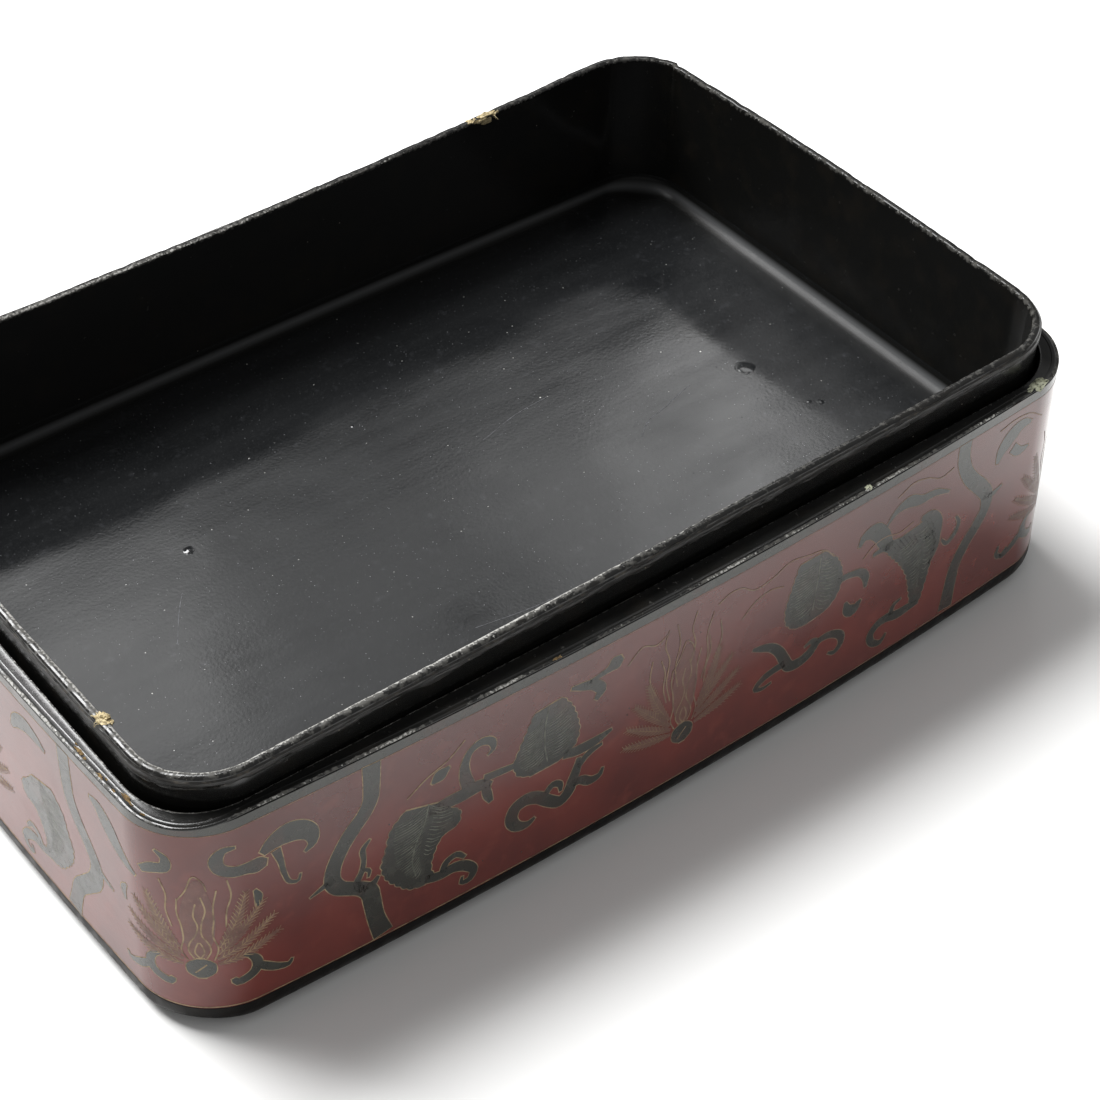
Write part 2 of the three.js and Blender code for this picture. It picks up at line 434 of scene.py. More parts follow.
def polished(tree, shader, place, amount, soft):
    """A clear coat, polished by hands: on the front only, and more towards the ledge."""
    front = ramp(tree, place, "Y", *COAT_FRONT, amount)
    high = ramp(tree, place, "Z", *COAT_RISE)
    past_corner = ramp(tree, place, "X", *COAT_PAST_CORNER)
    coat = add_node(tree, "ShaderNodeMath", {0: front, 1: high}, operation="MULTIPLY")
    coat = add_node(tree, "ShaderNodeMath", {
        0: coat.outputs["Value"], 1: past_corner}, operation="MULTIPLY")
    tree.links.new(coat.outputs["Value"], shader.inputs["Coat Weight"])
    shader.inputs["Coat Roughness"].default_value = soft


# %% [markdown]
# Red lacquer.
# Cinnabar in lacquer, gone brown with age. It could be one flat red, but then the
# wall looks like plastic. Clouds of two reds about 25 mm wide read as depth, and
# slow waves 30 mm long make the mirrored table wander on the wall.

# %% Red lacquer
red_lacquer, tree, shader, place = new_finish("red_brown_lacquer")
brush_marks = patches(tree, place, 2.2, 0.3, 0.7, stretch=(14, 14, 1))
coloured(tree, shader, "69281F", [
    (patches(tree, place, 26, 0.36, 0.66), "571F19"),
    (patches(tree, place, 7, 0.56, 0.8), "703026"),
    (specks(tree, place, 4.0, 0.5, 0.35), "38150F"),
    (specks(tree, place, 9.0, 0.4, 0.3), "96745F"),
    # Painted shade: the wall is painted darker from 35 mm up to the ledge, to even out the light that the
    # table throws on its upper part.
    (ramp(tree, place, "Z", 35, 70, 0.4), "3C1B16"),
])
polished(tree, shader, place, 0.5, 0.14)
changed(tree, shader, "Roughness", 0.13, [
    (patches(tree, place, 12, 0.4, 0.7), 0.09),
    (brush_marks, 0.035),
])
raised(tree, shader, [
    (patches(tree, place, 30, 0.2, 0.8, detail=1), 0.12),
    (brush_marks, 0.004),
    (patches(tree, place, 1.6, 0.3, 0.7), 0.003),
])
print(red_lacquer.name, len(tree.nodes), "nodes")

# %% [markdown]
# Green-black lacquer of the leaves and the border.
# Dark lacquer laid on with a loaded brush, so it stands a little proud, dries a
# little duller than the ground and shows paler where the brush ran thin.
# A second colour and a rougher gloss in the same thin places tell that story.

# %% Green-black lacquer
dark_lacquer, tree, shader, place = new_finish("green_black_lacquer")
thin_paint = patches(tree, place, 5, 0.42, 0.72)
coloured(tree, shader, "262621", [
    (thin_paint, "31312A"),
    (patches(tree, place, 11, 0.52, 0.75), "3A2A23"),
    (specks(tree, place, 3.0, 0.45, 0.3), "1B1A18"),
    (rubbed(tree, place, 1.6), "5D584C"),
])
polished(tree, shader, place, 0.42, 0.18)
changed(tree, shader, "Roughness", 0.2, [
    (thin_paint, 0.12),
    (patches(tree, place, 1.5, 0.4, 0.7), 0.06),
])
raised(tree, shader, [
    (patches(tree, place, 28, 0.2, 0.8, detail=1), 0.1),
    (patches(tree, place, 1.2), 0.006),
])
print(dark_lacquer.name, len(tree.nodes), "nodes")

# %% [markdown]
# Black lacquer of the tray and the ledge.
# Bone black in lacquer, mirror-like where nobody touches it. Rims are rubbed
# through to a grey ground, and the grey is matt, dented and specked. The mesh
# carries a wear value for each ring of its section, and the finish breaks that
# value up in patches, so that the wear is uneven as a real edge's is. The palest
# scuffs are partly painted highlights: glints of light on the rubbed rims.

# %% Black lacquer
black_lacquer, tree, shader, place = new_finish("black_lacquer")
worn = rubbed(tree, place, 1.6, 0.4, 0.8)
coloured(tree, shader, "131312", [
    (patches(tree, place, 9, 0.5, 0.75), "1A1815"),
    (worn, "4C4B48"),
    # The palest scuffs: partly wear, partly painted highlights, glints of light on the rubbed rims.
    (rubbed(tree, place, 0.7, 0.8, 1.0), "A09F9B"),
    (specks(tree, place, 6.0, 0.4, 0.2), "77736A"),
])
changed(tree, shader, "Roughness", 0.16, [
    (patches(tree, place, 8, 0.4, 0.7), 0.06),
    (worn, 0.3),
])
changed(tree, shader, "Specular IOR Level", COMMON_SHINE, [
    (worn, -0.36),
    (ramp(tree, place, "X", 142, 147), -0.3),
])
raised(tree, shader, [
    (patches(tree, place, 24, 0.2, 0.8, detail=1), 0.07),
    (patches(tree, place, 1.4, 0.3, 0.7), 0.008),
    (worn, 0.02),
])
print(black_lacquer.name, len(tree.nodes), "nodes")

# %% [markdown]
# Film that binds the rim.
# A lacquered paper or cloth strip binds the rim. It has shrunk and peels in thin
# layers, which the eye reads as fine wrinkles that run along the rim. One pattern,
# stretched twelve times along the rim, steers colour, gloss and bump together.

# %% Film of the rim
rim_binding, tree, shader, place = new_finish("peeling_lacquered_film")
layers = patches(tree, place, 0.8, 0.35, 0.65, stretch=(12, 12, 1), detail=4)
peeled = rubbed(tree, place, 2.5, 0.5, 0.8)
coloured(tree, shader, "12110F", [
    (layers, "1C1A17"),
    (peeled, "3A352E"),
    (specks(tree, place, 3.0, 0.5, 0.25), "857D6E"),
])
changed(tree, shader, "Roughness", 0.26, [(layers, 0.15), (peeled, 0.2)])
raised(tree, shader, [(layers, 0.16), (patches(tree, place, 3, stretch=(4, 4, 1)), 0.12)])
print(rim_binding.name, len(tree.nodes), "nodes")

# %% [markdown]
# Worn lacquer of the tray's floor.
# Food and cloths have rubbed the floor: it is cloudy grey-black, with streaks
# along its length, patches of duller gloss, dust and many pale specks. The cove
# round it is duller still, and a thin pale line low along the cove is a painted
# highlight, drawn between two heights that are less than three millimetres apart.

# %% Worn floor lacquer
floor_lacquer, tree, shader, place = new_finish("worn_floor_lacquer")
cloths = patches(tree, place, 6, 0.35, 0.7, stretch=(7, 1, 1))
dull = patches(tree, place, 22, 0.38, 0.68, stretch=(1.8, 1, 1))
rubbed_cove = add_node(tree, "ShaderNodeAttribute", attribute_name="wear").outputs["Fac"]
# A pale line low along the cove: a painted highlight where the cove's curve would mirror the light.
cove_painted_highlight = add_node(tree, "ShaderNodeMath", {
    0: ramp(tree, place, "Z", 40.0, 41.0),
    1: ramp(tree, place, "Z", 42.6, 41.2, 0.75)}, operation="MULTIPLY").outputs["Value"]
coloured(tree, shader, "141516", [
    (dull, "1A1B1C"),
    (cloths, "1B1C1D"),
    (patches(tree, place, 3.5, 0.62, 0.8), "28292B"),
    (patches(tree, place, 0.7, 0.55, 0.75), "232425"),
    (specks(tree, place, 3.2, 0.42, 0.16), "80807C"),
    (specks(tree, place, 2.1, 0.3, 0.35), "6C6D6F"),
    (specks(tree, place, 1.3, 0.24, 0.4), "58595B"),
    (specks(tree, place, 9.0, 0.55, 0.22), "A9A9A4"),
    (rubbed_cove, "131312"),
    (cove_painted_highlight, "4A4B4C"),
])
changed(tree, shader, "Roughness", 0.09, [(dull, 0.06), (cloths, 0.04), (rubbed_cove, 0.16)])
changed(tree, shader, "Specular IOR Level", COMMON_SHINE, [(rubbed_cove, -0.4)])
raised(tree, shader, [
    (patches(tree, place, 44, 0.2, 0.8, detail=1), 0.22),
    (cloths, 0.008),
    (specks(tree, place, 3.2, 0.42, 0.3), 0.03),
    (patches(tree, place, 1.1, 0.3, 0.7), 0.006),
])
print(floor_lacquer.name, len(tree.nodes), "nodes")

# %% [markdown]
# Gold.
# Gold is powder dusted on a tacky line, so it is matt, grainy and rubbed away in
# places, and barely a mirror. Under the feathers lies a thin wash of it in clear
# lacquer, through which the red still shows. Both are painted darker towards the
# right, as painted shade.

# %% Gold powder and gold wash
gold_line, tree, shader, place = new_finish("dusted_gold_powder")
coloured(tree, shader, "94805F", [
    (patches(tree, place, 2.6, 0.45, 0.65), "6B573F"),
    (patches(tree, place, 9, 0.55, 0.72), "52392D"),
    (specks(tree, place, 1.2, 0.4, 0.3), "A08B69"),
    # Painted shade: the gold is painted darker towards the right.
    (ramp(tree, place, "X", -90, 30, 0.65), "5E493D"),
])
changed(tree, shader, "Roughness", 0.5, [(patches(tree, place, 1.0), 0.2)])
raised(tree, shader, [(patches(tree, place, 0.6), 0.02)])
shader.inputs["Metallic"].default_value = 0.15
polished(tree, shader, place, 0.4, 0.25)

gold_wash, tree, shader, place = new_finish("thin_gold_wash")
coloured(tree, shader, "60362B", [
    (patches(tree, place, 3.0, 0.4, 0.65), "542B22"),
    (patches(tree, place, 1.0, 0.55, 0.75), "6E4B3C"),
    # Painted shade: the wash is painted darker towards the right.
    (ramp(tree, place, "X", -30, 130, 0.85), "4E241D"),
])
polished(tree, shader, place, 0.4, 0.2)
changed(tree, shader, "Roughness", 0.3, [(patches(tree, place, 2.0), 0.15)])
raised(tree, shader, [(patches(tree, place, 0.8), 0.01)])
print("gold finishes:", gold_line.name, gold_wash.name)

# %% [markdown]
# Foot lacquer.
# Thin black lacquer over the base board, dull from standing on tables, with bits
# of the wood showing. It mirrors so little that its shine is turned well down.

# %% Foot lacquer
FOOT_SHINE = 0.12

foot_lacquer, tree, shader, place = new_finish("foot_lacquer")
coloured(tree, shader, "0A0807", [
    (patches(tree, place, 5), "110D0A"),
    (specks(tree, place, 4.0, 0.5, 0.3), "4A3A2C"),
])
changed(tree, shader, "Roughness", 0.34, [(patches(tree, place, 4), 0.16)])
raised(tree, shader, [(patches(tree, place, 1.5), 0.02)])
shader.inputs["Specular IOR Level"].default_value = FOOT_SHINE
print(foot_lacquer.name, len(tree.nodes), "nodes")

# %% [markdown]
# The plain finishes.
# Wood, clay and dry brush marks are dull, so the eye wants less of them: a colour
# with one or two patterns in it, a roughness that wanders and a fine bump. One
# function lays those down, and what makes each finish itself is beside its name.

# %% Plain finishes
ALONG_BOARD = (9, 9, 1)
GRAIN = (0.9, 0.35, 0.65, (18, 18, 1), 5)


def plain_finish(name, base, layers, gloss, relief):
    """A dull finish. A pattern in it is a size in mm, and whatever else patches takes."""
    finish, tree, shader, place = new_finish(name)
    coloured(tree, shader, base, [(patches(tree, place, *pattern), colour) for pattern, colour in layers])
    start, pattern, amount = gloss
    changed(tree, shader, "Roughness", start, [(patches(tree, place, *pattern), amount)])
    pattern, height = relief
    raised(tree, shader, [(patches(tree, place, *pattern), height)])
    print(name, len(tree.nodes), "nodes")
    return finish


# Wood sealed with one dull black coat, seen only in the gap round the tray.
core_lacquer = plain_finish(
    "sealed_wood_core", "15110E", [((3, 0.4, 0.6, ALONG_BOARD), "211A14")],
    gloss=(0.45, (4,), 0.15), relief=((1.5, 0.4, 0.6, ALONG_BOARD), 0.03))

# The leaf's own lacquer, thinned and paler, combed on with a dry brush: it looks chalky.
rib_lacquer = plain_finish(
    "thinned_green_lacquer", "63655A", [((2.4, 0.4, 0.65), "3E4038")],
    gloss=(0.38, (1.0,), 0.2), relief=((0.6,), 0.02))

# Planed softwood of the bearers: fine grain along the strip, rough to the hand.
bare_wood = plain_finish(
    "planed_softwood", "8A6C47", [(GRAIN, "6A4E31"), ((20,), "7D5F3D")],
    gloss=(0.6, GRAIN, 0.2), relief=(GRAIN, 0.05))

# Where lacquer has chipped off, the pale clay-and-fibre ground shows, dry and crumbly.
bare_ground = plain_finish(
    "clay_and_fibre_ground", "CDBE98", [((1.2, 0.35, 0.65), "A08F68"), ((0.5, 0.5, 0.7), "5E523C")],
    gloss=(0.8, (0.6,), 0.15), relief=((0.5,), 0.15))

# Clay ground that broke off the ledge lately: putty grey, with dark pits.
pale_ground = plain_finish(
    "putty_grey_ground", "B9BBA4", [((1.4, 0.4, 0.6), "8D8F78"), ((0.7, 0.55, 0.65), "3F4038")],
    gloss=(0.75, (0.6,), 0.15), relief=((0.5,), 0.12))

# Clay ground that broke off long ago, stained brown by hands.
brown_ground = plain_finish(
    "stained_brown_ground", "7A6238", [((1.2, 0.4, 0.6), "4E3B20"), ((0.6, 0.6, 0.7), "B49C66")],
    gloss=(0.75, (0.6,), 0.15), relief=((0.5,), 0.12))

# Lacquer that a blade or a grain of sand has cut: powdery grey along the cut.
scratch_finish = plain_finish(
    "scratched_lacquer", "45464A", [((1.5,), "242527")],
    gloss=(0.5, (1.0,), 0.3), relief=((0.7,), 0.02))

# %% [markdown]
# The base board.
# On the real box the foot turns under in a soft round before it meets the table,
# and a seam runs round above it. A bevel on a slab would turn under by the same
# amount all round, but the real foot is drawn in more at the corners. So it is
# swept ring by ring, each ring drawn in by its own share.

# %% Heights of the bands
BASE_TOP = 9.0
WALL_BOTTOM = 9.05
LEAN_TOP = 72.9
PAINT_EDGE = 73.8
WALL_TOP = 75.95
LEDGE_BOTTOM = 76.0
LEDGE_TOP = 78.0
FLARE = 1.44
SKIN = 1.0
TRAY_GAP = 1.25
CLEAR = 0.02


def lean(height):
    """How far the wall stands out at a height, because it leans out to the foot."""
    share = (LEAN_TOP - np.asarray(height, float)) / (LEAN_TOP - BASE_TOP)
    return FLARE * np.clip(share, 0, 1)


print("the wall leans out at its foot by", lean(WALL_BOTTOM).round(2), "mm")

# %% Where the corners are
def outward_from_core(plan, points):
    """Unit directions from the plan's straight core to its outline."""
    core = np.array([plan["length"] / 2 - plan["radius"], plan["width"] / 2 - plan["radius"]])
    away = points - np.clip(points, -core, core)
    return away / np.linalg.norm(away, axis=1)[:, None]


def corner_share(away):
    """From 0 on the sides to 1 in the middle of each corner."""
    return abs(2 * away[:, 0] * away[:, 1])


def quarter_round(angle, reach, rise):
    """How far in and how high a round has got, at an angle from its upright side."""
    return (1 - math.cos(angle)) * reach, (1 - math.sin(angle)) * rise


def share_left(x, start, over):
    """From 0 at start to 1 at over mm farther to the left."""
    return np.clip((start - x) / over, 0, 1)


box_x, box_y = box_points.T
tray_x, tray_y = tray_points.T
box_away = outward_from_core(BOX, box_points)
tray_away = outward_from_core(TRAY, tray_points)
print("points in the box's corners:", int((corner_share(box_away) > 0.1).sum()))

# %% The base board with its turned-under edge
TUCK_RISE = 6.0
TUCK_REACH = 6.5
TUCK_CORNER_REACH = 7.5
TUCK_STEPS = 8
SEAM_DIP = 1.1
SEAM_DIP_ENDS = 145
SEAM_ROUND = 0.3
SEAM_DEPTH = 1.6
LONG_SIDES_FROM = 90

foot_points = box_points + box_outward * FLARE
foot_reach = TUCK_REACH + TUCK_CORNER_REACH * corner_share(box_away) ** 2
on_long_sides = abs(box_y) > LONG_SIDES_FROM
seam_dip = SEAM_DIP * np.clip(1 - (box_x / SEAM_DIP_ENDS) ** 4, 0, 1) * on_long_sides
section = []
for step in range(TUCK_STEPS + 1):
    section.append(quarter_round(math.pi / 2 * (1 - step / TUCK_STEPS), foot_reach, TUCK_RISE))
section += [
    (0, BASE_TOP - SEAM_ROUND - seam_dip),
    (SEAM_ROUND, BASE_TOP - seam_dip),
    (SEAM_DEPTH, BASE_TOP - seam_dip),
    (SEAM_DEPTH, BASE_TOP),
]
rings = [station(foot_points, -box_away, drawn, height) for drawn, height in section]
base_board = sweep("base_board_lacquered", rings, close="caps")
place_piece(base_board, foot_lacquer, "box", ["base_board"])

# %% [markdown]
# The wall and its red skin.
# The wooden wall is straight inside, where the tray runs, and bowed outside, so
# its section goes from the box's outline over to the tray's. The red skin over it
# leans out to the foot. Both are closed shells, as solid things are, and the gap
# round the tray shows the wall's inner side.

# %% The wall core and the red field
FIELD_FOLD = 0.1
FIELD_HEIGHTS = (30, 50)

rings = [
    box_ring(-SKIN, WALL_BOTTOM),
    box_ring(-SKIN, WALL_TOP),
    tray_ring(TRAY_GAP, WALL_TOP),
    tray_ring(TRAY_GAP, WALL_BOTTOM),
]
wall_core = sweep("wall_core", rings)
wall_nodes = [f"wall_board_{side}" for side in SIDES]
wall_nodes += [f"corner_block_{corner}" for corner in CORNERS]
place_piece(wall_core, core_lacquer, "box", wall_nodes)

field_bottom = WALL_BOTTOM - seam_dip
rings = [box_ring(-FIELD_FOLD, field_bottom), box_ring(lean(field_bottom), field_bottom)]
rings += [box_ring(lean(height), height) for height in FIELD_HEIGHTS]
rings += [box_ring(0, LEAN_TOP), box_ring(0, PAINT_EDGE), box_ring(-SKIN, PAINT_EDGE)]
red_field = sweep("red_field", rings)
place_piece(red_field, red_lacquer, "box", ["field_skin"])

# %% [markdown]
# The dark border.
# A band of the leaves' lacquer runs round under the ledge. The painter let it lap
# over the ledge's side, so no gap shows between the two. A strip of flat colour
# would do from afar, but its lapped edge catches a thin line of light.

# %% The dark border
BORDER_GAP = 0.05
SIDE_LAP = 0.12
LAP_ROUND = 0.06
LAP_TOP = LEDGE_TOP - 0.85

rings = [
    box_ring(-SKIN, PAINT_EDGE + BORDER_GAP),
    box_ring(0, PAINT_EDGE + BORDER_GAP),
    box_ring(0, LAP_TOP - LAP_ROUND),
    box_ring(-LAP_ROUND, LAP_TOP),
    box_ring(-SIDE_LAP, LAP_TOP),
    box_ring(-SIDE_LAP, WALL_TOP),
    box_ring(-SKIN, WALL_TOP),
]
border_band = sweep("border_band", rings)
place_piece(border_band, dark_lacquer, "box", ["border_hoop"])

# %% [markdown]
# The ledge.
# A black strip lies on the wall's top edge, and a cover would sit on it. It has a
# raised rounded rim outside, a shallow step and a low bead at the tray's gap.
# Hands have dented and rubbed the rim, and a knock has pushed the near left corner
# outward. Each ring of the section says where it runs and how worn it is there.
# The pale lines along the step and the bead are painted highlights, brighter to
# the left, where the light would fall on their rounds.

# %% The ledge
STEP_IN = 2.1
GROOVE = 0.3
CORNER_PUSH = 1.5
DENT_DEPTH = 0.2

dents = np.clip(ripple(box_points, 5, 3.0), 0, 1) * DENT_DEPTH
rough_edge = np.clip(0.6 + 0.5 * ripple(box_points, 17, 6.0), 0, 1)
left_highlight_share = share_left(box_x, 40, 120)
near_left = (box_x < 0) & (box_y < 0)
push = CORNER_PUSH * near_left * corner_share(box_away) ** 1.5
bead_push = push * 0.8
section = [
    (tray_ring(TRAY_GAP, LEDGE_BOTTOM), 0),
    (box_ring(-SIDE_LAP - CLEAR, LEDGE_BOTTOM), 0),
    (box_ring(-SIDE_LAP - CLEAR, LAP_TOP + CLEAR), 0),
    (box_ring(-GROOVE + push, LAP_TOP + 0.08), 0),
    (box_ring(-GROOVE * 0.9 + push, LAP_TOP + 0.32), 0),
    (box_ring(-dents * 0.4 + push, LAP_TOP + 0.44), 0.6 * rough_edge),
    (box_ring(-0.04 - dents * 0.5 + push, LEDGE_TOP - 0.22 - dents * 0.6), rough_edge),
    (box_ring(-0.3 - dents + push, LEDGE_TOP - 0.03 - dents * 0.8), rough_edge),
    (box_ring(-0.75 + push, LEDGE_TOP), 0.7 * rough_edge),
    (box_ring(-1.0 + push, LEDGE_TOP - 0.04), 0.1),
    (box_ring(-STEP_IN + 0.15 + push, LEDGE_TOP - 0.1), 0.1),
    # Pale lines on the step and the bead, brighter to the left: painted highlights.
    (box_ring(-STEP_IN + push, LEDGE_TOP - 0.06), 0.15 + 0.1 * left_highlight_share * rough_edge),
    (box_ring(-STEP_IN - 0.2 + push, LEDGE_TOP - 0.3), 0.1),
    (tray_ring(TRAY_GAP + 0.65 + bead_push, LEDGE_TOP - 0.3), 0.05),
    (tray_ring(TRAY_GAP + 0.45 + bead_push, LEDGE_TOP - 0.26), 0.35 + 0.3 * left_highlight_share),
    (tray_ring(TRAY_GAP + 0.15 + bead_push, LEDGE_TOP - 0.36), 0.5 + 0.25 * left_highlight_share),
    (tray_ring(TRAY_GAP + bead_push, LEDGE_TOP - 0.7), 0.1),
]
rings, wears = zip(*section)
ledge = sweep("ledge_strip_lacquered", rings, wear=wears)
place_piece(ledge, black_lacquer, "box", ["ledge_strip"])

# %% [markdown]
# The bearers.
# Four plain strips inside the walls carry the tray. Nothing on them is rounded or
# worn enough to model again, so the frame's own solids only get their wood.

# %% The bearers
for side in SIDES:
    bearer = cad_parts[f"bearer_{side}"]
    bearer.data.materials.clear()
    bearer.data.materials.append(bare_wood)
print("bearers:", len(SIDES))

# %% [markdown]
# The painted leaves.
# On the real box a painter laid dark green lacquer on the red with a brush, then
# ran a thin gold line round each leaf. A brush stroke is a ribbon whose width
# changes along its way, so each stroke is a narrow grid whose rows are laid along
# a curve. It is drawn flat first, in mm along the wall and mm above the table.

# %% Ribbons for brush strokes
STROKE_GAP = 1.0
FINE_GAP = 0.5
THINNEST = 0.2


def smooth_line(points, gap=STROKE_GAP):
    """Rows of a soft curve through given points, about gap mm apart."""
    points = np.array(points, float)
    reach = np.linalg.norm(np.diff(points[:, :2], axis=0), axis=1)
    reach = np.concatenate([[0], np.cumsum(reach)])
    slope = np.gradient(points, reach, axis=0)
    spots = np.linspace(0, reach[-1], max(3, int(reach[-1] / gap) + 2))
    left = np.clip(np.searchsorted(reach, spots, side="right") - 1, 0, len(reach) - 2)
    span = (reach[left + 1] - reach[left])[:, None]
    t = (spots - reach[left])[:, None] / span
    return ((2 * t ** 3 - 3 * t ** 2 + 1) * points[left]
            + (t ** 3 - 2 * t ** 2 + t) * span * slope[left]
            + (3 * t ** 2 - 2 * t ** 3) * points[left + 1]
            + (t ** 3 - t ** 2) * span * slope[left + 1])


def directions(line):
    """Unit steps along a flat line, one for each of its points."""
    along = np.gradient(line[:, :2], axis=0)
    return along / np.maximum(np.linalg.norm(along, axis=1), 1e-9)[:, None]


def brush_edges(points):
    """Left and right edge of a stroke given as rows of place, height and width."""
    line = smooth_line(points)
    along = directions(line)
    side = np.stack([-along[:, 1], along[:, 0]], 1)
    half = np.clip(line[:, 2], THINNEST, None)[:, None] / 2
    return line[:, :2] + side * half, line[:, :2] - side * half


RUFFLE_GAP = 2.8
RUFFLE_DEPTH = 0.55
LEAF_ROW_GAP = 0.6
LEAF_EDGE_GAP = 0.4


def leaf_edges(left, right):
    """The two edges of a leaf, cut into the same count of rows and ruffled like a leaf's rim."""
    rows = max(len(smooth_line(edge, LEAF_ROW_GAP)) for edge in (left, right))
    edges = []
    for edge in (left, right):
        line = smooth_line(edge, LEAF_EDGE_GAP)
        picks = np.linspace(0, len(line) - 1, rows)
        edges.append(np.stack([np.interp(picks, range(len(line)), line[:, k]) for k in (0, 1)], 1))
    apart = edges[0] - edges[1]
    apart /= np.linalg.norm(apart, axis=1)[:, None]
    ruffled = []
    for edge, sign in zip(edges, (1, -1)):
        reach = np.concatenate([[0], np.cumsum(np.linalg.norm(np.diff(edge, axis=0), axis=1))])
        wave = abs(np.sin(math.pi * reach / RUFFLE_GAP)) * RUFFLE_DEPTH
        ruffled.append(edge + apart * (sign * wave)[:, None])
    return ruffled


def grown(left, right, by):
    """The same ribbon, wider by a margin all round."""
    swapped = np.cross(directions(left)[len(left) // 2], (left - right)[len(left) // 2]) < 0
    sign = -1 if swapped else 1
    out_left = np.stack([-directions(left)[:, 1], directions(left)[:, 0]], 1) * sign
    out_right = np.stack([directions(right)[:, 1], -directions(right)[:, 0]], 1) * sign
    left = left + out_left * by
    right = right + out_right * by
    middle = directions((left + right) / 2)
    first, last = middle[0] * by, middle[-1] * by
    left = np.vstack([left[0] - first, left, left[-1] + last])
    right = np.vstack([right[0] - first, right, right[-1] + last])
    return left, right


COLUMN_WIDTH = 1.6


def ribbon(left, right, lift):
    """A narrow grid laid between two edges on the flat sheet. Returns the object."""
    widest = np.linalg.norm(left - right, axis=1).max()
    columns = max(1, math.ceil(widest / COLUMN_WIDTH))
    bpy.ops.mesh.primitive_grid_add(x_subdivisions=columns, y_subdivisions=len(left) - 1, size=1)
    grid = bpy.context.object
    shares = np.linspace(0, 1, columns + 1)[None, :, None]
    rows = (left[:, None] * (1 - shares) + right[:, None] * shares).reshape(-1, 2)
    flat = np.column_stack([rows, np.full(len(rows), lift)])
    grid.data.vertices.foreach_set("co", flat.astype(np.float32).ravel())
    return grid


# %% [markdown]
# The drawing itself.
# Each number pair is a place along the wall and a height, in mm, read from
# the box. A third number is the width of the brush there. The front's middle is
# place 0, and the near left corner is at about -150. Curled leaves with combed
# middles, crooked stems and feather flowers at the corners and side middles
# are old, common forms on this kind of ware.

# %% Flower motif
FLOWER_DARK = [
    [(0, 21.4, 2.0), (0, 22.6, 5.6), (0, 25, 7.4), (0, 27.4, 5.6), (0, 28.5, 2.0)],
    [(10.6, 27.8, 0.8), (12.6, 26, 1.8), (13.8, 23, 2.8), (13.2, 20.6, 3.0), (10.6, 18.7, 2.7),
     (8.2, 18.3, 2.5), (7.4, 19.8, 1.2)],
    [(14, 21.8, 2.2), (16.6, 19.4, 2.6), (19.6, 17.3, 2.2), (22.6, 16.6, 1.4), (23.4, 17.9, 0.7)],
]
FLOWER_LINES = [
    [(-1.6, 23.2), (1.4, 26.4)],
    [(0, 29.0), (-1.1, 31), (-0.8, 33), (0.1, 35), (1.0, 33), (1.2, 31), (0.2, 29.0)],
    [(-1.4, 28.8), (-2.6, 31.5), (-2.2, 34.5), (-0.6, 37.6), (0.2, 41), (-0.6, 45), (0.2, 49.5)],
    [(1.6, 28.8), (2.8, 31.5), (2.4, 34.5), (1.0, 37.6), (1.2, 42), (2.4, 47), (1.6, 52)],
    [(-3.0, 28), (-4.4, 31.5), (-3.6, 36), (-3.8, 41), (-4.6, 46), (-4.2, 51)],
    [(3.4, 28), (4.6, 32), (3.6, 37.5), (4.2, 43), (4.4, 48), (5.6, 54)],
    [(-4.4, 50), (-2.0, 54), (0.6, 59.5), (2.6, 57), (3.2, 54)],
    [(-6.2, 40), (-7.4, 46), (-7.0, 52), (-8.4, 57)],
    [(7.0, 40), (7.6, 46), (9.0, 51), (8.4, 57)],
]
FEATHERS = [
    [(4.2, 26.4), (12, 28.2), (20.5, 31)],
    [(4.2, 28.2), (11, 32), (19.5, 37.5)],
    [(4.6, 30), (10.5, 37), (17, 44.5)],
    [(5.0, 32.5), (9.5, 41), (12.5, 50)],
]

TALL_LINES = [
    [(-5.0, 40), (-6.4, 48), (-5.6, 56), (-7.2, 62), (-6.0, 67)],
    [(-2.4, 44), (-3.4, 52), (-2.0, 60), (-3.2, 67.5)],
    [(1.8, 50), (3.4, 57), (2.2, 63), (3.6, 68.5)],
    [(6.0, 42), (8.0, 50), (7.6, 58), (9.6, 65)],
    [(10.5, 47), (12.8, 53.6), (12.2, 60.4)],
    [(-10, 45), (-12.2, 51.6), (-11.4, 58.6)],
]

# %% [markdown]
# The front's drawing.
# Left of the middle a crooked stem climbs beside two curled leaves, and right of
# it there are two leaves more and a second stem. A stroke is listed by the points
# of its middle line, a leaf by its two edges, and a comb by the two lines that its
# strokes join and their count.

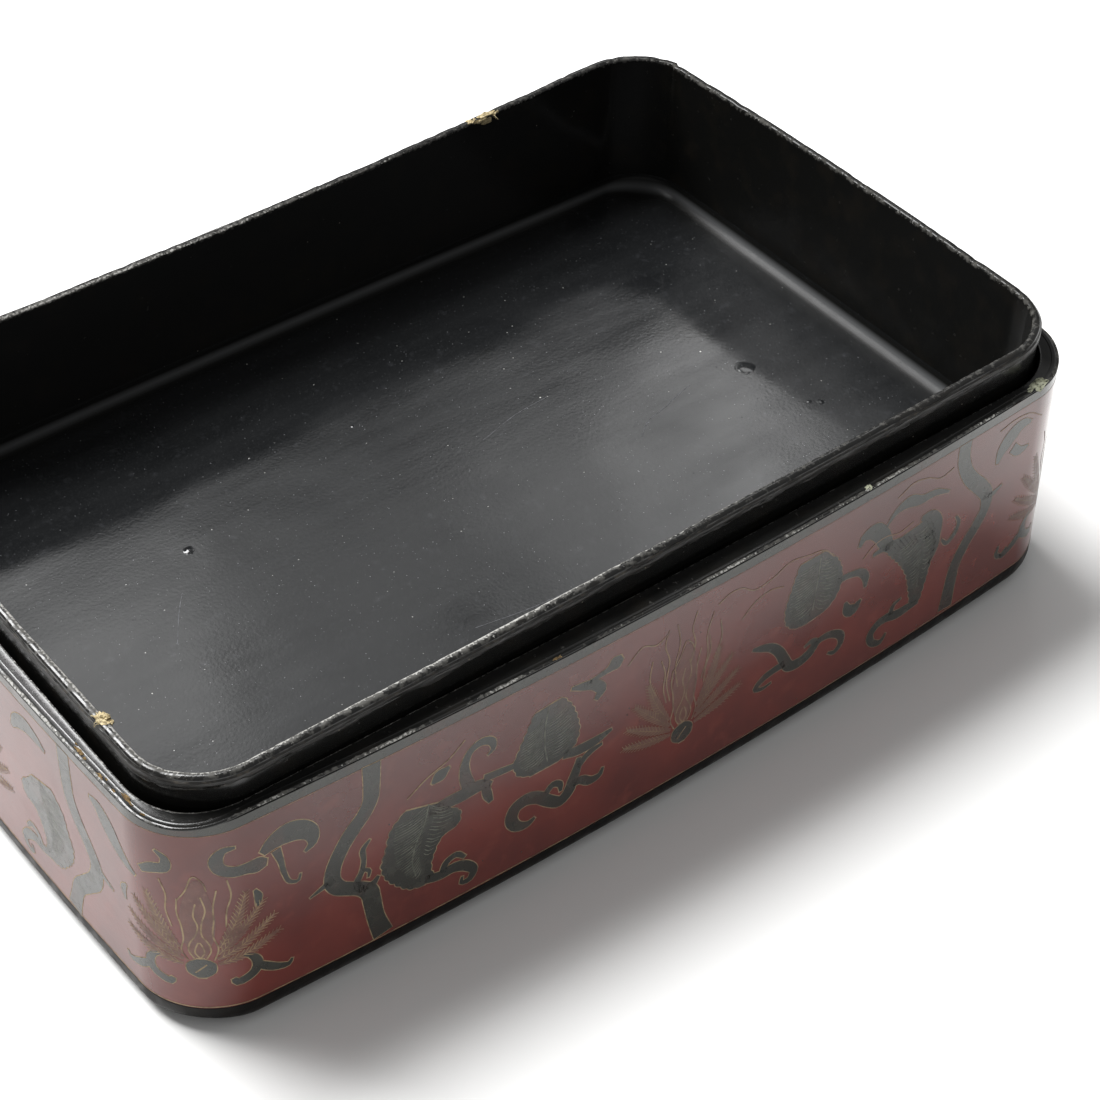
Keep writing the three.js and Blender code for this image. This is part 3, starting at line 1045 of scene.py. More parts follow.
# %% Front, left half
LEAF_TENDRILS = [
    [(-85.4, 21.6, 3.0), (-81, 20.4, 3.2), (-76.4, 20.6, 3.6), (-72.6, 18.6, 3.4),
     (-70.6, 15.6, 2.6), (-72.2, 12.9, 2.0), (-74.6, 13.4, 1.4), (-74.2, 15.4, 0.7)],
    [(-80.4, 21.0, 2.2), (-79, 24.2, 2.2), (-76, 25.2, 2.0), (-73.2, 22.6, 1.2)],
]
LEFT_DARK = [
    [(-138.3, 67.4, 0.8), (-141.4, 67.4, 2.2), (-143.2, 65, 3.4), (-142.8, 61.6, 3.4),
     (-139.6, 59.2, 3.4), (-135.6, 58.4, 3.8), (-132.4, 57.8, 4.8), (-130.4, 57.4, 2.4)],
    [(-131.4, 61, 2.4), (-128.4, 63, 5.0), (-124.2, 64, 6.8), (-120.4, 62.8, 6.2),
     (-117.6, 59.6, 4.4), (-117.6, 56.4, 2.6), (-119.8, 54.6, 0.9)],
    [(-127.6, 60, 2.6), (-126.6, 55, 1.6), (-126, 50.4, 1.3), (-124.4, 46.2, 1.1),
     (-122.4, 45.4, 0.9), (-121.6, 47.6, 0.5)],
    [(-134.4, 49.5, 0.8), (-133.6, 46.5, 2.2), (-134.2, 43.4, 0.9)],
    [(-99.6, 73.7, 5.2), (-99.9, 66.6, 4.8), (-100.6, 61.2, 4.6), (-102.4, 57.8, 4.6),
     (-106.4, 53.4, 4.8), (-110.4, 47.6, 4.6), (-112.6, 42.4, 4.6), (-112.9, 38.4, 4.8),
     (-111.4, 35.4, 4.6), (-108.2, 33.0, 4.4), (-104.8, 30.8, 4.6), (-102.6, 28.2, 5.2),
     (-102, 24.4, 5.2), (-101.2, 17.4, 5.0), (-99.4, 9.6, 5.8)],
    [(-112.4, 39.4, 3.0), (-116, 38.2, 1.6), (-119.6, 36.8, 0.5)],
    [(-101.4, 47.4, 0.7), (-103.6, 45, 1.6), (-103.6, 41, 1.4), (-104.4, 37, 1.8),
     (-106, 33.6, 2.2), (-104.6, 30.6, 2.6), (-101.6, 30.4, 2.4), (-99.6, 32.4, 1.0)],
    [(-104.0, 37.6, 1.0), (-102.2, 36, 1.2), (-102.6, 33.8, 0.6)],
    *LEAF_TENDRILS,
    [(-84, 45.6, 3.4), (-78.6, 46.4, 4.2), (-72.6, 46.4, 4.4), (-68, 46.6, 4.2), (-64.4, 45, 2.0)],
    [(-71.4, 48.6, 4.0), (-72.4, 53, 3.4), (-72.2, 57.6, 2.6), (-70.4, 61, 2.2),
     (-66.6, 62.2, 2.6), (-63.8, 60.4, 2.4), (-63.6, 57.6, 1.4), (-65.2, 56.4, 0.6)],
    [(-66.6, 48.4, 2.6), (-61.6, 47.8, 2.4), (-56.6, 47.2, 2.0)],
    [(-66.2, 45, 2.4), (-65.6, 41.6, 2.8), (-64.6, 38.6, 1.4)],
    [(-82.4, 56.2, 0.9), (-80.2, 57.6, 4.2), (-77, 59.2, 1.0)],
    [(-38.6, 64.6, 1.0), (-35, 63.4, 2.6), (-30.8, 61.6, 3.4), (-28.8, 58.4, 3.2), (-30.6, 56, 1.4)],
    [(-34.4, 63.4, 1.4), (-29.4, 64, 1.6), (-25.8, 64.8, 2.8), (-24.2, 65.6, 5.0), (-22, 66.6, 2.2)],
    [(-41, 41.4, 2.6), (-36, 40.4, 3.6), (-30.6, 40.4, 3.2), (-25, 41.6, 1.0)],
    [(-50.6, 23.4, 1.0), (-52.8, 22.3, 2.2), (-56.4, 23.6, 3.4), (-58.2, 27.2, 4.0),
     (-56.8, 31, 4.4), (-53.2, 32, 4.4), (-49.2, 30.2, 4.0), (-45.8, 26.8, 3.8),
     (-42, 24.4, 3.8), (-39.4, 26.4, 4.0), (-38, 30, 3.6), (-36.6, 34, 2.8), (-36, 37.4, 1.4)],
    [(-46.8, 30.4, 2.0), (-44.6, 32.4, 2.2), (-42.2, 31, 2.0), (-42, 28.2, 0.9)],
    [(-38.6, 28.6, 2.4), (-35.4, 28.4, 2.8), (-31.8, 26, 2.8), (-28.8, 26.4, 1.8), (-27.8, 28.6, 0.8)],
    [(-36.4, 34, 2.0), (-32.4, 37.2, 2.2), (-28.2, 38, 1.0)],
]
LEFT_LEAVES = [
    ([(-90.5, 51), (-95, 46.4), (-96.8, 40), (-98.4, 35), (-97.5, 30.4), (-94, 25), (-90, 21.2), (-86, 20)],
     [(-80.6, 48), (-77.6, 44.4), (-74.6, 41.4), (-75.4, 36.6), (-80, 35), (-83, 30), (-84, 25),
      (-83.4, 22)]),
    ([(-50.2, 62.4), (-52.6, 57.4), (-55, 52.4), (-56.8, 47.6), (-55.8, 43), (-51.5, 40.2)],
     [(-41.6, 63.2), (-38.8, 59), (-37, 53.6), (-36.2, 47.6), (-37.6, 43.4), (-43, 40.4)]),
]
LEFT_COMBS = [
    ([(-93.8, 47), (-94.6, 41), (-94.4, 35), (-92.4, 29), (-88.8, 24)],
     [(-84.4, 49), (-84, 43.6), (-86, 38), (-87.2, 32), (-86.8, 26.6)], 24),
    ([(-83, 48.6), (-82.6, 43.6), (-84.6, 38), (-85.8, 32)],
     [(-78.6, 45.6), (-76.4, 42), (-79.6, 37), (-83.6, 31)], 14),
    ([(-52.4, 56), (-54.8, 51), (-55.6, 46.6), (-53, 42.6)],
     [(-47.6, 59), (-47.8, 54), (-47.8, 49), (-47.4, 44.4)], 16),
    ([(-46.6, 57), (-46.6, 51.6), (-46.4, 46), (-45.4, 42.6)],
     [(-40, 59.4), (-38, 54), (-37.2, 48.6), (-39.4, 44)], 15),
]
LEFT_MIDRIBS = [
    [(-83.6, 49.4), (-85.2, 43), (-88, 37), (-89.4, 31), (-88.6, 25)],
    [(-45.8, 62.6), (-47, 56), (-47.2, 49), (-46.4, 42.4)],
]
LEFT_LINES = [
    [(-90, 55), (-84, 59), (-77, 62), (-72, 66)],
    [(-20, 62), (-15, 66), (-10, 64), (-6, 66)],
]

# %% Front, right half
RIGHT_DARK = [
    [(25, 41.4, 0.9), (28, 40.2, 2.2), (32, 38.2, 2.8), (35.4, 34.4, 3.2), (37.4, 30.4, 3.6),
     (40, 26.2, 3.6), (44, 25.6, 3.8), (48, 27.2, 3.6), (49.8, 29.4, 2.8), (47.8, 31.2, 1.6),
     (45.4, 30.4, 0.7)],
    [(48.4, 28.6, 2.4), (52.4, 29.8, 2.4), (56.8, 28.8, 2.6), (60, 26, 2.8), (60, 22.8, 2.2),
     (57.8, 21, 1.6), (55.2, 22.2, 0.7)],
    [(38, 28.6, 2.8), (34, 28.4, 2.6), (29.6, 27.4, 2.4), (27, 25, 1.8), (29.4, 23.6, 1.2), (33, 24, 0.7)],
    [(56.4, 49.4, 2.2), (61.6, 48.8, 2.2), (65.6, 47.4, 2.6), (68, 44, 2.6), (68.2, 40.4, 1.0)],
    [(60.6, 38.6, 0.9), (61.6, 35.4, 3.6), (63.8, 34, 4.4), (66.8, 36.2, 1.0)],
    [(64, 57.6, 1.2), (65.6, 60.2, 3.4), (69.4, 60.6, 5.4), (72.6, 57.6, 5.6), (75, 53.4, 5.2),
     (77, 50.2, 3.0)],
    [(74.6, 59.6, 0.9), (78, 63, 2.4), (83, 64, 4.2), (88, 62, 3.4), (94, 61.4, 2.4), (100.2, 58.6, 0.9)],
    [(70, 51.2, 1.2), (75.6, 51.4, 3.0), (81, 49.6, 4.2), (86, 47.6, 4.6), (90, 47.4, 4.0)],
    [(89.4, 54.4, 1.6), (92.6, 53, 5.0), (94.8, 49, 7.4), (95.6, 44, 6.4), (96.8, 39, 3.2),
     (94.8, 33.6, 1.0)],
    [(92.4, 20.4, 1.4), (88, 20.6, 3.0), (83.6, 20.6, 3.4), (79, 21.8, 3.2), (75, 21.2, 3.0),
     (72.6, 18.4, 2.8), (73.8, 14.9, 2.4), (77.6, 13.2, 1.8), (79.4, 15.4, 0.8)],
    [(80.6, 22, 2.0), (81.4, 25.2, 1.6), (84.4, 26.4, 0.7)],
    [(104.8, 73.7, 5.0), (105, 67.6, 5.0), (106.6, 62.8, 4.8), (110, 57.4, 5.0), (114.4, 52.4, 5.2),
     (117.8, 47.4, 5.0), (118, 42.8, 4.6), (115, 37.6, 4.8), (110.6, 32, 4.8), (107.4, 26, 4.8),
     (106.2, 18.6, 5.0), (105.4, 9.8, 5.6)],
    [(99.6, 40.4, 0.8), (102, 37.8, 1.6), (105, 39.6, 2.0), (106.4, 43.6, 1.4), (104.8, 46.6, 0.7)],
    [(116.4, 47.6, 2.6), (120.4, 46.4, 2.0), (124.4, 47.8, 0.8)],
    [(120.6, 57.6, 1.2), (122, 61.6, 4.4), (125.6, 65.4, 5.8), (130, 67.4, 4.0), (134, 66.6, 1.2)],
    [(127, 60.2, 3.4), (130.6, 57.2, 3.0), (134.2, 57.4, 1.0)],
    [(127.4, 21.6, 0.8), (126.8, 18.6, 1.6), (129.4, 17, 1.8), (131.6, 19, 0.8)],
]
RIGHT_LEAVES = [
    ([(41, 64), (38.4, 56), (36.8, 49), (37.4, 44), (41, 40.4), (45, 39.6)],
     [(50, 64), (55.4, 58), (57.6, 52), (56.6, 45), (53, 41), (48.4, 40)]),
    ([(74.6, 51), (78, 46.4), (82, 41.4), (85.6, 35), (87.4, 28.4), (89, 21.4)],
     [(92.4, 53), (95.6, 46.6), (96.4, 40), (95.4, 34), (94, 27), (92.6, 21)]),
]
RIGHT_COMBS = [
    ([(40.6, 61), (38.4, 55), (38, 49), (40.4, 43.4)], [(47.8, 62), (47.6, 56), (47, 50), (46.6, 45)], 18),
    ([(49.4, 61.4), (49.2, 56), (48.8, 50), (48, 44.6)],
     [(52.8, 60), (56, 54), (55.8, 47.4), (51.6, 42)], 15),
    ([(80.6, 46.4), (84.6, 40), (87.4, 33), (89.6, 26)],
     [(86.6, 48.4), (90.4, 43), (91.2, 36), (91.2, 28)], 17),
    ([(87.6, 49), (91.2, 44), (92.2, 37), (92.2, 30)],
     [(92.6, 50), (95.2, 44.6), (95.2, 38), (93.6, 30)], 13),
]
RIGHT_MIDRIBS = [[(48.6, 62.6), (48.4, 56), (47.8, 50), (47.2, 43.6)]]
RIGHT_LINES = [
    [(11, 66.5), (15, 68.4), (19, 68), (24, 64.5), (30, 65), (37, 67.5), (44, 66), (50, 64.5), (54, 60)],
    [(20, 56), (25, 60), (30, 61), (35, 59.6)],
    [(78, 68), (84, 70.4), (90, 69), (96, 66), (101, 67)],
    [(66, 52), (70, 55), (75, 55.6), (80, 54), (86, 55)],
    [(120, 70), (126, 71), (133, 70), (139, 66)],
]

# %% [markdown]
# The short sides' drawing.
# A short side has the same forms, mirrored about its middle, so only half of it
# is listed. Its curled leaf with the tendrils at its foot is the front's own,
# mirrored round the near left corner.

# %% Short sides, half of each
SHORT_DARK = [
    [(-158.2, 67.2, 0.8), (-155.8, 65, 2.2), (-156, 62, 3.0), (-159.4, 60.4, 3.2), (-163.2, 58, 2.0)],
    [(-165.4, 53.6, 1.0), (-169, 55.6, 3.6), (-173, 58.8, 5.6), (-176.4, 62.8, 6.4), (-180, 66, 4.6),
     (-183.6, 66.8, 1.2)],
    [(-170, 46, 0.8), (-171.6, 43.4, 2.4), (-171, 40, 0.9)],
    [(-195, 73.7, 5.4), (-195, 65, 5.2), (-194.6, 58, 5.2), (-191.6, 51, 5.4), (-187.4, 45, 5.4),
     (-184.6, 39, 5.6), (-186, 33, 5.8), (-190.6, 27.4, 5.4), (-195.6, 21.6, 5.2), (-198, 15, 5.2),
     (-199.6, 9.8, 6.0)],
    [(-184.4, 39.6, 3.2), (-180.6, 38.4, 1.8), (-177, 37.4, 0.6)],
    [(-205, 64.6, 1.0), (-209, 66, 3.6), (-214, 66.6, 5.2), (-219, 64.4, 4.4), (-222, 60.6, 1.4)],
]
MIRROR_AT = -147.5


def mirrored(points):
    """The same points on the other side of the near left corner, with what else each holds."""
    return [(2 * MIRROR_AT - along, *rest) for along, *rest in points]


def short_side_drawing():
    """The strokes, leaves, combs and lines of half a short side, partly mirrored from the front's."""
    strokes = SHORT_DARK + [mirrored(stroke) for stroke in LEAF_TENDRILS]
    leaf = tuple(mirrored(edge) for edge in LEFT_LEAVES[0])
    start, end, count = LEFT_COMBS[0]
    return strokes, [leaf], [(mirrored(start), mirrored(end), count)], []


print("strokes:", len(LEFT_DARK), "left,", len(RIGHT_DARK), "right,", len(SHORT_DARK), "on a short half")

# %% [markdown]
# Laying the drawing on the wall.
# Gold goes on first, a little wider than the leaf, and the dark leaf covers all
# but its rim. Where two strokes meet, the dark of one covers the gold of the
# other, as on the real box, where the gold line runs round the whole leaf.
# The flat sheet is then wrapped: each point goes to its place on the bowed wall.

# %% Layers of paint
GOLD_RIM = 0.27
GOLD_LIFT = 0.03
DARK_LIFT = 0.055
LINE_LIFT = 0.07
WASH_LIFT = 0.04
LINE_WIDTH = 0.42
COMB_WIDTH = 0.32
BARB_WIDTH = 0.22
BARB_GAP = 1.4
BARB_TURN = 0.75
BARB_REACH = 2.4
BARB_LEAST = 0.5
COMB_SAG = 0.7
PLUME_WIDTHS = (1.4, 3.0, 1.0)


def with_width(points, width):
    """The same points, each with the brush's width."""
    return [(*point, width) for point in points]


def comb(start, end, count):
    """Thin parallel strokes from one edge of a leaf to the other."""
    start, end = smooth_line(start, FINE_GAP), smooth_line(end, FINE_GAP)
    for share in np.linspace(0, 1, count):
        head = start[int(share * (len(start) - 1))][:2]
        tail = end[int(share * (len(end) - 1))][:2]
        sag = (head + tail) / 2 - (0, COMB_SAG)
        yield [(*head, COMB_WIDTH * 0.5), (*sag, COMB_WIDTH), (*tail, COMB_WIDTH * 0.5)]


def feather(points, flip):
    """A quill with barbs on both of its sides."""
    quill = smooth_line([(s * flip, z) for s, z in points], BARB_GAP)
    along = directions(quill)
    yield with_width([tuple(point) for point in quill], BARB_WIDTH)
    for row in range(1, len(quill)):
        for turn in (BARB_TURN, -BARB_TURN):
            way = np.array([along[row][0] * math.cos(turn) - along[row][1] * math.sin(turn),
                            along[row][0] * math.sin(turn) + along[row][1] * math.cos(turn)])
            share = math.sin(math.pi * (0.12 + 0.8 * row / len(quill)))
            length = BARB_REACH * share + BARB_LEAST
            yield [(*quill[row], BARB_WIDTH), (*(quill[row] + way * length), BARB_WIDTH * 0.4)]


def join_sheets(grids, name):
    """One object made of many, or nothing where there are none."""
    if not grids:
        return None
    clear_selection()
    for grid in grids:
        grid.select_set(True)
    bpy.context.view_layer.objects.active = grids[0]
    bpy.ops.object.join()
    sheet = bpy.context.object
    sheet.name = name
    return sheet


FLOWER_WASH = [(0, 29, 3), (0, 36, 7.5), (0.3, 44, 8.6), (0.6, 52, 6), (1, 58, 1.6)]


def draw_motif(name, strokes, leaves, combs, lines, feathers=(), midribs=()):
    """Draws one motif flat. Returns its dark, gold, rib and wash sheets."""
    clear_selection()
    dark, gold, ribs, wash = [], [], [], []
    edges = [brush_edges(stroke) for stroke in strokes]
    edges += [leaf_edges(left, right) for left, right in leaves]
    for left, right in edges:
        dark.append(ribbon(left, right, DARK_LIFT))
        gold.append(ribbon(*grown(left, right, GOLD_RIM), GOLD_LIFT))
    for line in lines:
        gold.append(ribbon(*brush_edges(with_width(line, LINE_WIDTH)), LINE_LIFT))
    for line in midribs:
        ribs.append(ribbon(*brush_edges(with_width(line, LINE_WIDTH)), LINE_LIFT))
    for start, end, count in combs:
        for stroke in comb(start, end, count):
            ribs.append(ribbon(*brush_edges(stroke), LINE_LIFT))
    for points in feathers:
        for flip in (1, -1):
            for stroke in feather(points, flip):
                gold.append(ribbon(*brush_edges(stroke), LINE_LIFT))
            plume = [(s * flip, z, width) for (s, z), width in zip(points, PLUME_WIDTHS)]
            wash.append(ribbon(*brush_edges(plume), WASH_LIFT))
    if feathers:
        wash.append(ribbon(*brush_edges(FLOWER_WASH), WASH_LIFT))
    sheets = (("_dark", dark), ("_gold", gold), ("_ribs", ribs), ("_wash", wash))
    return [join_sheets(grids, name + ending) for ending, grids in sheets]


# %% [markdown]
# Wrapping the drawing round the wall.
# A Shrinkwrap modifier could pull the flat sheets on to the wall, but it would
# squeeze them at the corners. So every point is laid at its own distance along
# the outline, as a paper band is laid round a box, and one sheet serves all the
# places where its motif repeats.

# %% Wrapping a sheet round the wall
def on_wall(along, height, lift):
    """Places in mm on the outer wall, at a distance along it from the front's middle."""
    spots = [np.interp(along, arc, box_points[:, k], period=GIRTH) for k in (0, 1)]
    ways = [np.interp(along, arc, box_outward[:, k], period=GIRTH) for k in (0, 1)]
    out = lean(height) + lift
    return np.column_stack([spots[0] + ways[0] * out, spots[1] + ways[1] * out, height])


def wrapped(sheet, shift=0.0, mirror=None):
    """A copy of a flat sheet on the wall, mirrored at a place or shifted along."""
    copy = sheet.copy()
    copy.data = sheet.data.copy()
    bpy.context.scene.collection.objects.link(copy)
    flat = np.zeros(len(copy.data.vertices) * 3, np.float32)
    copy.data.vertices.foreach_get("co", flat)
    flat = flat.reshape(-1, 3).astype(float)
    along = flat[:, 0] if mirror is None else 2 * mirror - flat[:, 0]
    spots = on_wall(along + shift, flat[:, 1], flat[:, 2]) * MM
    copy.data.vertices.foreach_set("co", spots.astype(np.float32).ravel())
    copy.data.update()
    return copy


def face_outward(piece):
    """Turns round the faces that look into the wall. The box is long, so x counts for less."""
    mesh = bmesh.new()
    mesh.from_mesh(piece.data)
    for face in mesh.faces:
        spot = face.calc_center_median()
        if face.normal.dot(Vector((spot.x * 0.4, spot.y, 0))) < 0:
            face.normal_flip()
    mesh.to_mesh(piece.data)
    mesh.free()

# %% All the motifs, each laid in its places
HALF_GIRTH = GIRTH / 2
SHORT_MIDDLE = GIRTH / 4
CORNER_FLOWERS = (-149.6, 151.8)

forks = FLOWER_DARK[1:] + [[(-s, z, w) for s, z, w in stroke] for stroke in FLOWER_DARK[1:]]
twice = [(0, None), (HALF_GIRTH, None)]
motifs = [
    (draw_motif("flower", FLOWER_DARK[:1] + forks, [], [], FLOWER_LINES, FEATHERS),
     [(half + place, None) for half in (0, HALF_GIRTH) for place in CORNER_FLOWERS]),
    (draw_motif("tall_flower", FLOWER_DARK[:1], [], [], FLOWER_LINES + TALL_LINES, FEATHERS),
     twice + [(-SHORT_MIDDLE, None), (SHORT_MIDDLE, None)]),
    (draw_motif("front_left", LEFT_DARK, LEFT_LEAVES, LEFT_COMBS, LEFT_LINES, (), LEFT_MIDRIBS),
     twice),
    (draw_motif("front_right", RIGHT_DARK, RIGHT_LEAVES, RIGHT_COMBS, RIGHT_LINES, (), RIGHT_MIDRIBS),
     twice),
    (draw_motif("short_half", *short_side_drawing()),
     [(shift, mirror) for shift in (0, HALF_GIRTH) for mirror in (None, -SHORT_MIDDLE)]),
]
copies = ([], [], [], [])
for sheets, places in motifs:
    for sheet, kept in zip(sheets, copies):
        if sheet:
            kept += [wrapped(sheet, shift, mirror) for shift, mirror in places]
            bpy.data.objects.remove(sheet)
drawn_pieces = (("painted_leaves", dark_lacquer), ("gold_drawing", gold_line),
                ("leaf_ribs", rib_lacquer), ("gold_washes", gold_wash))
for kept, (name, finish) in zip(copies, drawn_pieces):
    piece = join_sheets(kept, name)
    face_outward(piece)
    place_piece(piece, finish, "box")

# %% [markdown]
# Gold lines round the box.
# One gold line runs round above the foot and a finer one under the border, drawn
# by a hand that wanders a little. Each is a flat hoop with slanted edges, swept
# like the skin, so that its edges catch the light as a raised line does.

# %% Gold lines round the foot and under the border
LINE_RAISE = 0.05
FOOT_LINE_UP = 0.35
FOOT_LINE_WIDTH = 0.36
BORDER_LINE_DOWN = 0.25
BORDER_LINE_WIDTH = 0.16
WANDER = 0.12


def gold_ring(name, height, width, wander):
    """A thin raised line all round the wall."""
    bottom = height + wander - width / 2
    rings = [
        box_ring(lean(bottom), bottom),
        box_ring(lean(bottom) + LINE_RAISE, bottom + LINE_RAISE),
        box_ring(lean(bottom) + LINE_RAISE, bottom + width - LINE_RAISE),
        box_ring(lean(bottom), bottom + width),
    ]
    return sweep(name, rings)


wander = ripple(box_points, 30, 4.0) * WANDER
gold_rings = [
    gold_ring("foot_line", WALL_BOTTOM + FOOT_LINE_UP - seam_dip, FOOT_LINE_WIDTH, wander),
    gold_ring("border_line", PAINT_EDGE - BORDER_LINE_DOWN, BORDER_LINE_WIDTH, wander),
]
gold_lines_round = join_sheets(gold_rings, "gold_lines_round")
place_piece(gold_lines_round, gold_line, "box")

# %% [markdown]
# The lift-out tray.
# The tray is a thin-walled wooden tray under black lacquer, and its wood has
# warped: the far side leans in, the right end leans out, and the rim is turned a
# little and drops to the left. The foot stays true, so that the tray still runs
# in the box. One function moves a plain ring to where the warped wall has it.

# %% How the tray's rim has warped
TRAY_BOTTOM = 36.5
RIM_TOP = 89.0
BACK_IN = 3.2
BACK_OUT = 1.0
END_OUT = 1.7
BACK_FROM = 80
BACK_REACH = 120
BACK_RIGHT = 130
END_FROM = 140
END_OVER = 8
END_MIDDLE = -15
END_REACH = 90
WARP_FROM = 60
TURN_FROM = 45
TURN_OVER = 40
RIM_TURN = 0.007
RIM_DROP = 1.8
HALF_TRAY = 150

back_middle = np.clip(1 - (tray_x / BACK_REACH) ** 2, 0, 1)
back_right = np.clip(tray_x / BACK_RIGHT, 0, 1) ** 2
end_middle = np.clip(1 - ((tray_y - END_MIDDLE) / END_REACH) ** 2, 0, 1)
end_share = np.clip((tray_x - END_FROM) / END_OVER, 0, 1)
warp = np.where(tray_y > BACK_FROM, BACK_OUT * back_right - BACK_IN * back_middle, 0)
warp += END_OUT * end_middle * end_share


def warped_out(height):
    """How far the wall has warped outward at a height, more and more towards the rim."""
    return warp * max(0, (height - WARP_FROM) / (RIM_TOP - WARP_FROM)) ** 1.3


def rim_ring(offset, height):
    """A ring of the tray's wall. Towards the rim it is warped, turned and drops to the left."""
    ring = tray_ring(offset + warped_out(np.mean(height)), height) / MM
    share = np.clip((ring[:, 2] - TURN_FROM) / TURN_OVER, 0, 1)
    share = share * share * (3 - 2 * share)
    x, y = ring[:, 0].copy(), ring[:, 1].copy()
    ring[:, 0] = x - RIM_TURN * y * share
    ring[:, 1] = y + RIM_TURN * x * share
    ring[:, 2] -= RIM_DROP * (1 - x / HALF_TRAY).clip(0, 2) / 2 * share
    return ring * MM


print("rim warped in mm:", round(warp.min(), 1), "to", round(warp.max(), 1))

# %% [markdown]
# The tray's walls and rim.
# The lip is rounded, nicked and rubbed to a grey ground, most on its inner edge
# and to the left, where hands take hold. Its palest scuffs, to the left and on a
# stretch of the front, are partly painted glints of light. The nicks lower the top
# rings a little here and there, and the wear is a share for each ring, as on the ledge.

# %% The tray's walls and rim
TRAY_WALL = 2.5
WALL_HEIGHTS = (50, 60, 70, 80)
NICKS_FROM = 87.5
NICK_DEPTH = 0.3

nicks = np.clip(ripple(tray_points, 3.2, 5.0), 0, 1) * NICK_DEPTH
nicks += np.clip(ripple(tray_points, 15, 2.0), 0, 1) * NICK_DEPTH
# Wear on the lip, and painted highlights: glints of light along the left and on a stretch of the front.
lip_wear_and_glints = 0.55 + 0.45 * share_left(tray_x, 60, 120)
lip_wear_and_glints += 0.25 * np.exp(-((tray_x + 50) / 35) ** 2) * (tray_y < 0)
section = [(0, TRAY_BOTTOM, 0)]
section += [(0, height, 0) for height in WALL_HEIGHTS]
section += [
    (0, 86.5, 0.1),
    (0, RIM_TOP - 1.0, 0.3),
    (-0.25, RIM_TOP - 0.35, 0.4 * lip_wear_and_glints),
    (-0.8, RIM_TOP, 0.45 * lip_wear_and_glints),
    (-1.5, RIM_TOP - 0.02, 0.6 * lip_wear_and_glints),
    (-1.95, RIM_TOP - 0.1, 0.9 * lip_wear_and_glints),
    (-2.35, RIM_TOP - 0.4, lip_wear_and_glints),
    (-TRAY_WALL, RIM_TOP - 0.9, 0.5),
    (-TRAY_WALL, 87.2, 0),
]
section += [(-TRAY_WALL, height, 0) for height in WALL_HEIGHTS[::-1]]
section += [(-TRAY_WALL, TRAY_BOTTOM, 0)]
rings = [rim_ring(offset, height - nicks * (height > NICKS_FROM)) for offset, height, wear in section]
tray_walls = sweep("tray_walls", rings, wear=[wear for offset, height, wear in section])
tray_nodes = [f"tray_board_{side}" for side in SIDES]
tray_nodes += [f"tray_corner_{corner}" for corner in CORNERS]
place_piece(tray_walls, black_lacquer, "tray", tray_nodes)

# %% [markdown]
# The tray's floor and its cove.
# A round fillet, the cove, runs between the walls and the floor, wider in the
# corners, so that food and a cloth find no seam. The same quarter round as the
# foot's makes it. Its rings run on over the floor to a small cap in the middle,
# so the floor is one skin, and each ring's wear dulls the cove.

# %% The tray's floor and its cove
FLOOR_TOP = 39.5
COVE_RISE = 5.0
COVE_REACH = 5.0
COVE_CORNER_REACH = 5.0
COVE_STEPS = 8

inner_points = tray_points - tray_outward * TRAY_WALL
cove_reach = COVE_REACH + COVE_CORNER_REACH * corner_share(tray_away) ** 2
section = [(0, TRAY_BOTTOM), (0, FLOOR_TOP + COVE_RISE)]
for step in range(1, COVE_STEPS + 1):
    drawn, height = quarter_round(math.pi / 2 * step / COVE_STEPS, cove_reach, COVE_RISE)
    section.append((drawn, FLOOR_TOP + height))
rings = [station(inner_points, -tray_away, CLEAR + drawn, height) for drawn, height in section]
foot_x, foot_y, foot_z = rings[-1].T
for share in (0.97, 0.92, 0.8, 0.65, 0.5, 0.35, 0.2, 0.08):
    rings.append(np.column_stack([foot_x * share, foot_y * share, foot_z]))
cove_wear = [0, 0.4] + [0.8, 1, 1, 1, 1, 1, 0.9, 0.6] + [0.2] + [0] * 7
tray_floor = sweep("tray_floor_and_cove", rings, close="caps", wear=cove_wear)
place_piece(tray_floor, floor_lacquer, "tray", ["tray_floor", "tray_cove"])

# %% [markdown]
# The binding film round the rim.
# Below the lip a lacquered strip binds the wall. It has shrunk, and its lower edge
# is torn and stands off a little. The three lowest rings follow a ragged line, made
# of slow waves and quick ones, so the tear has long bites and short teeth.

# %% The binding film
FILM_BOTTOM = 84.5
FILM = 0.4
LOWEST_TEAR = RIM_TOP - 2

ragged = FILM_BOTTOM + 0.9 + ripple(tray_points, 9, 3.0) * 0.8 + ripple(tray_points, 2.4, 9.0) * 0.35
ragged = np.clip(ragged, FILM_BOTTOM, LOWEST_TEAR)
section = [
    (CLEAR, ragged, 0.3),
    (FILM * 0.6, ragged, 0.7),
    (FILM, ragged + 0.25, 0.35),
    (FILM, 87.0, 0.1),
    (FILM, RIM_TOP - 1.4, 0.35),
    (CLEAR, RIM_TOP - 1.0, 0.5),
]
rings = [rim_ring(offset, height) for offset, height, wear in section]
rim_film = sweep("rim_binding_film", rings, wear=[wear for offset, height, wear in section])
place_piece(rim_film, rim_binding, "tray", ["tray_rim_binding"])

# %% [markdown]
# Flakes and fibres.
# Age has knocked flakes off the rim and the ledge, so the pale ground and its
# plant fibres show. A bump could not stand out from the rim's outline, so each
# crumb is a real one: a disc that is raised, inset and pushed about. A fibre is a
# five-sided ring, extruded along its way and drawn out to a tip.

# %% A crumb of bare ground
CRUMB_POINTS = 20


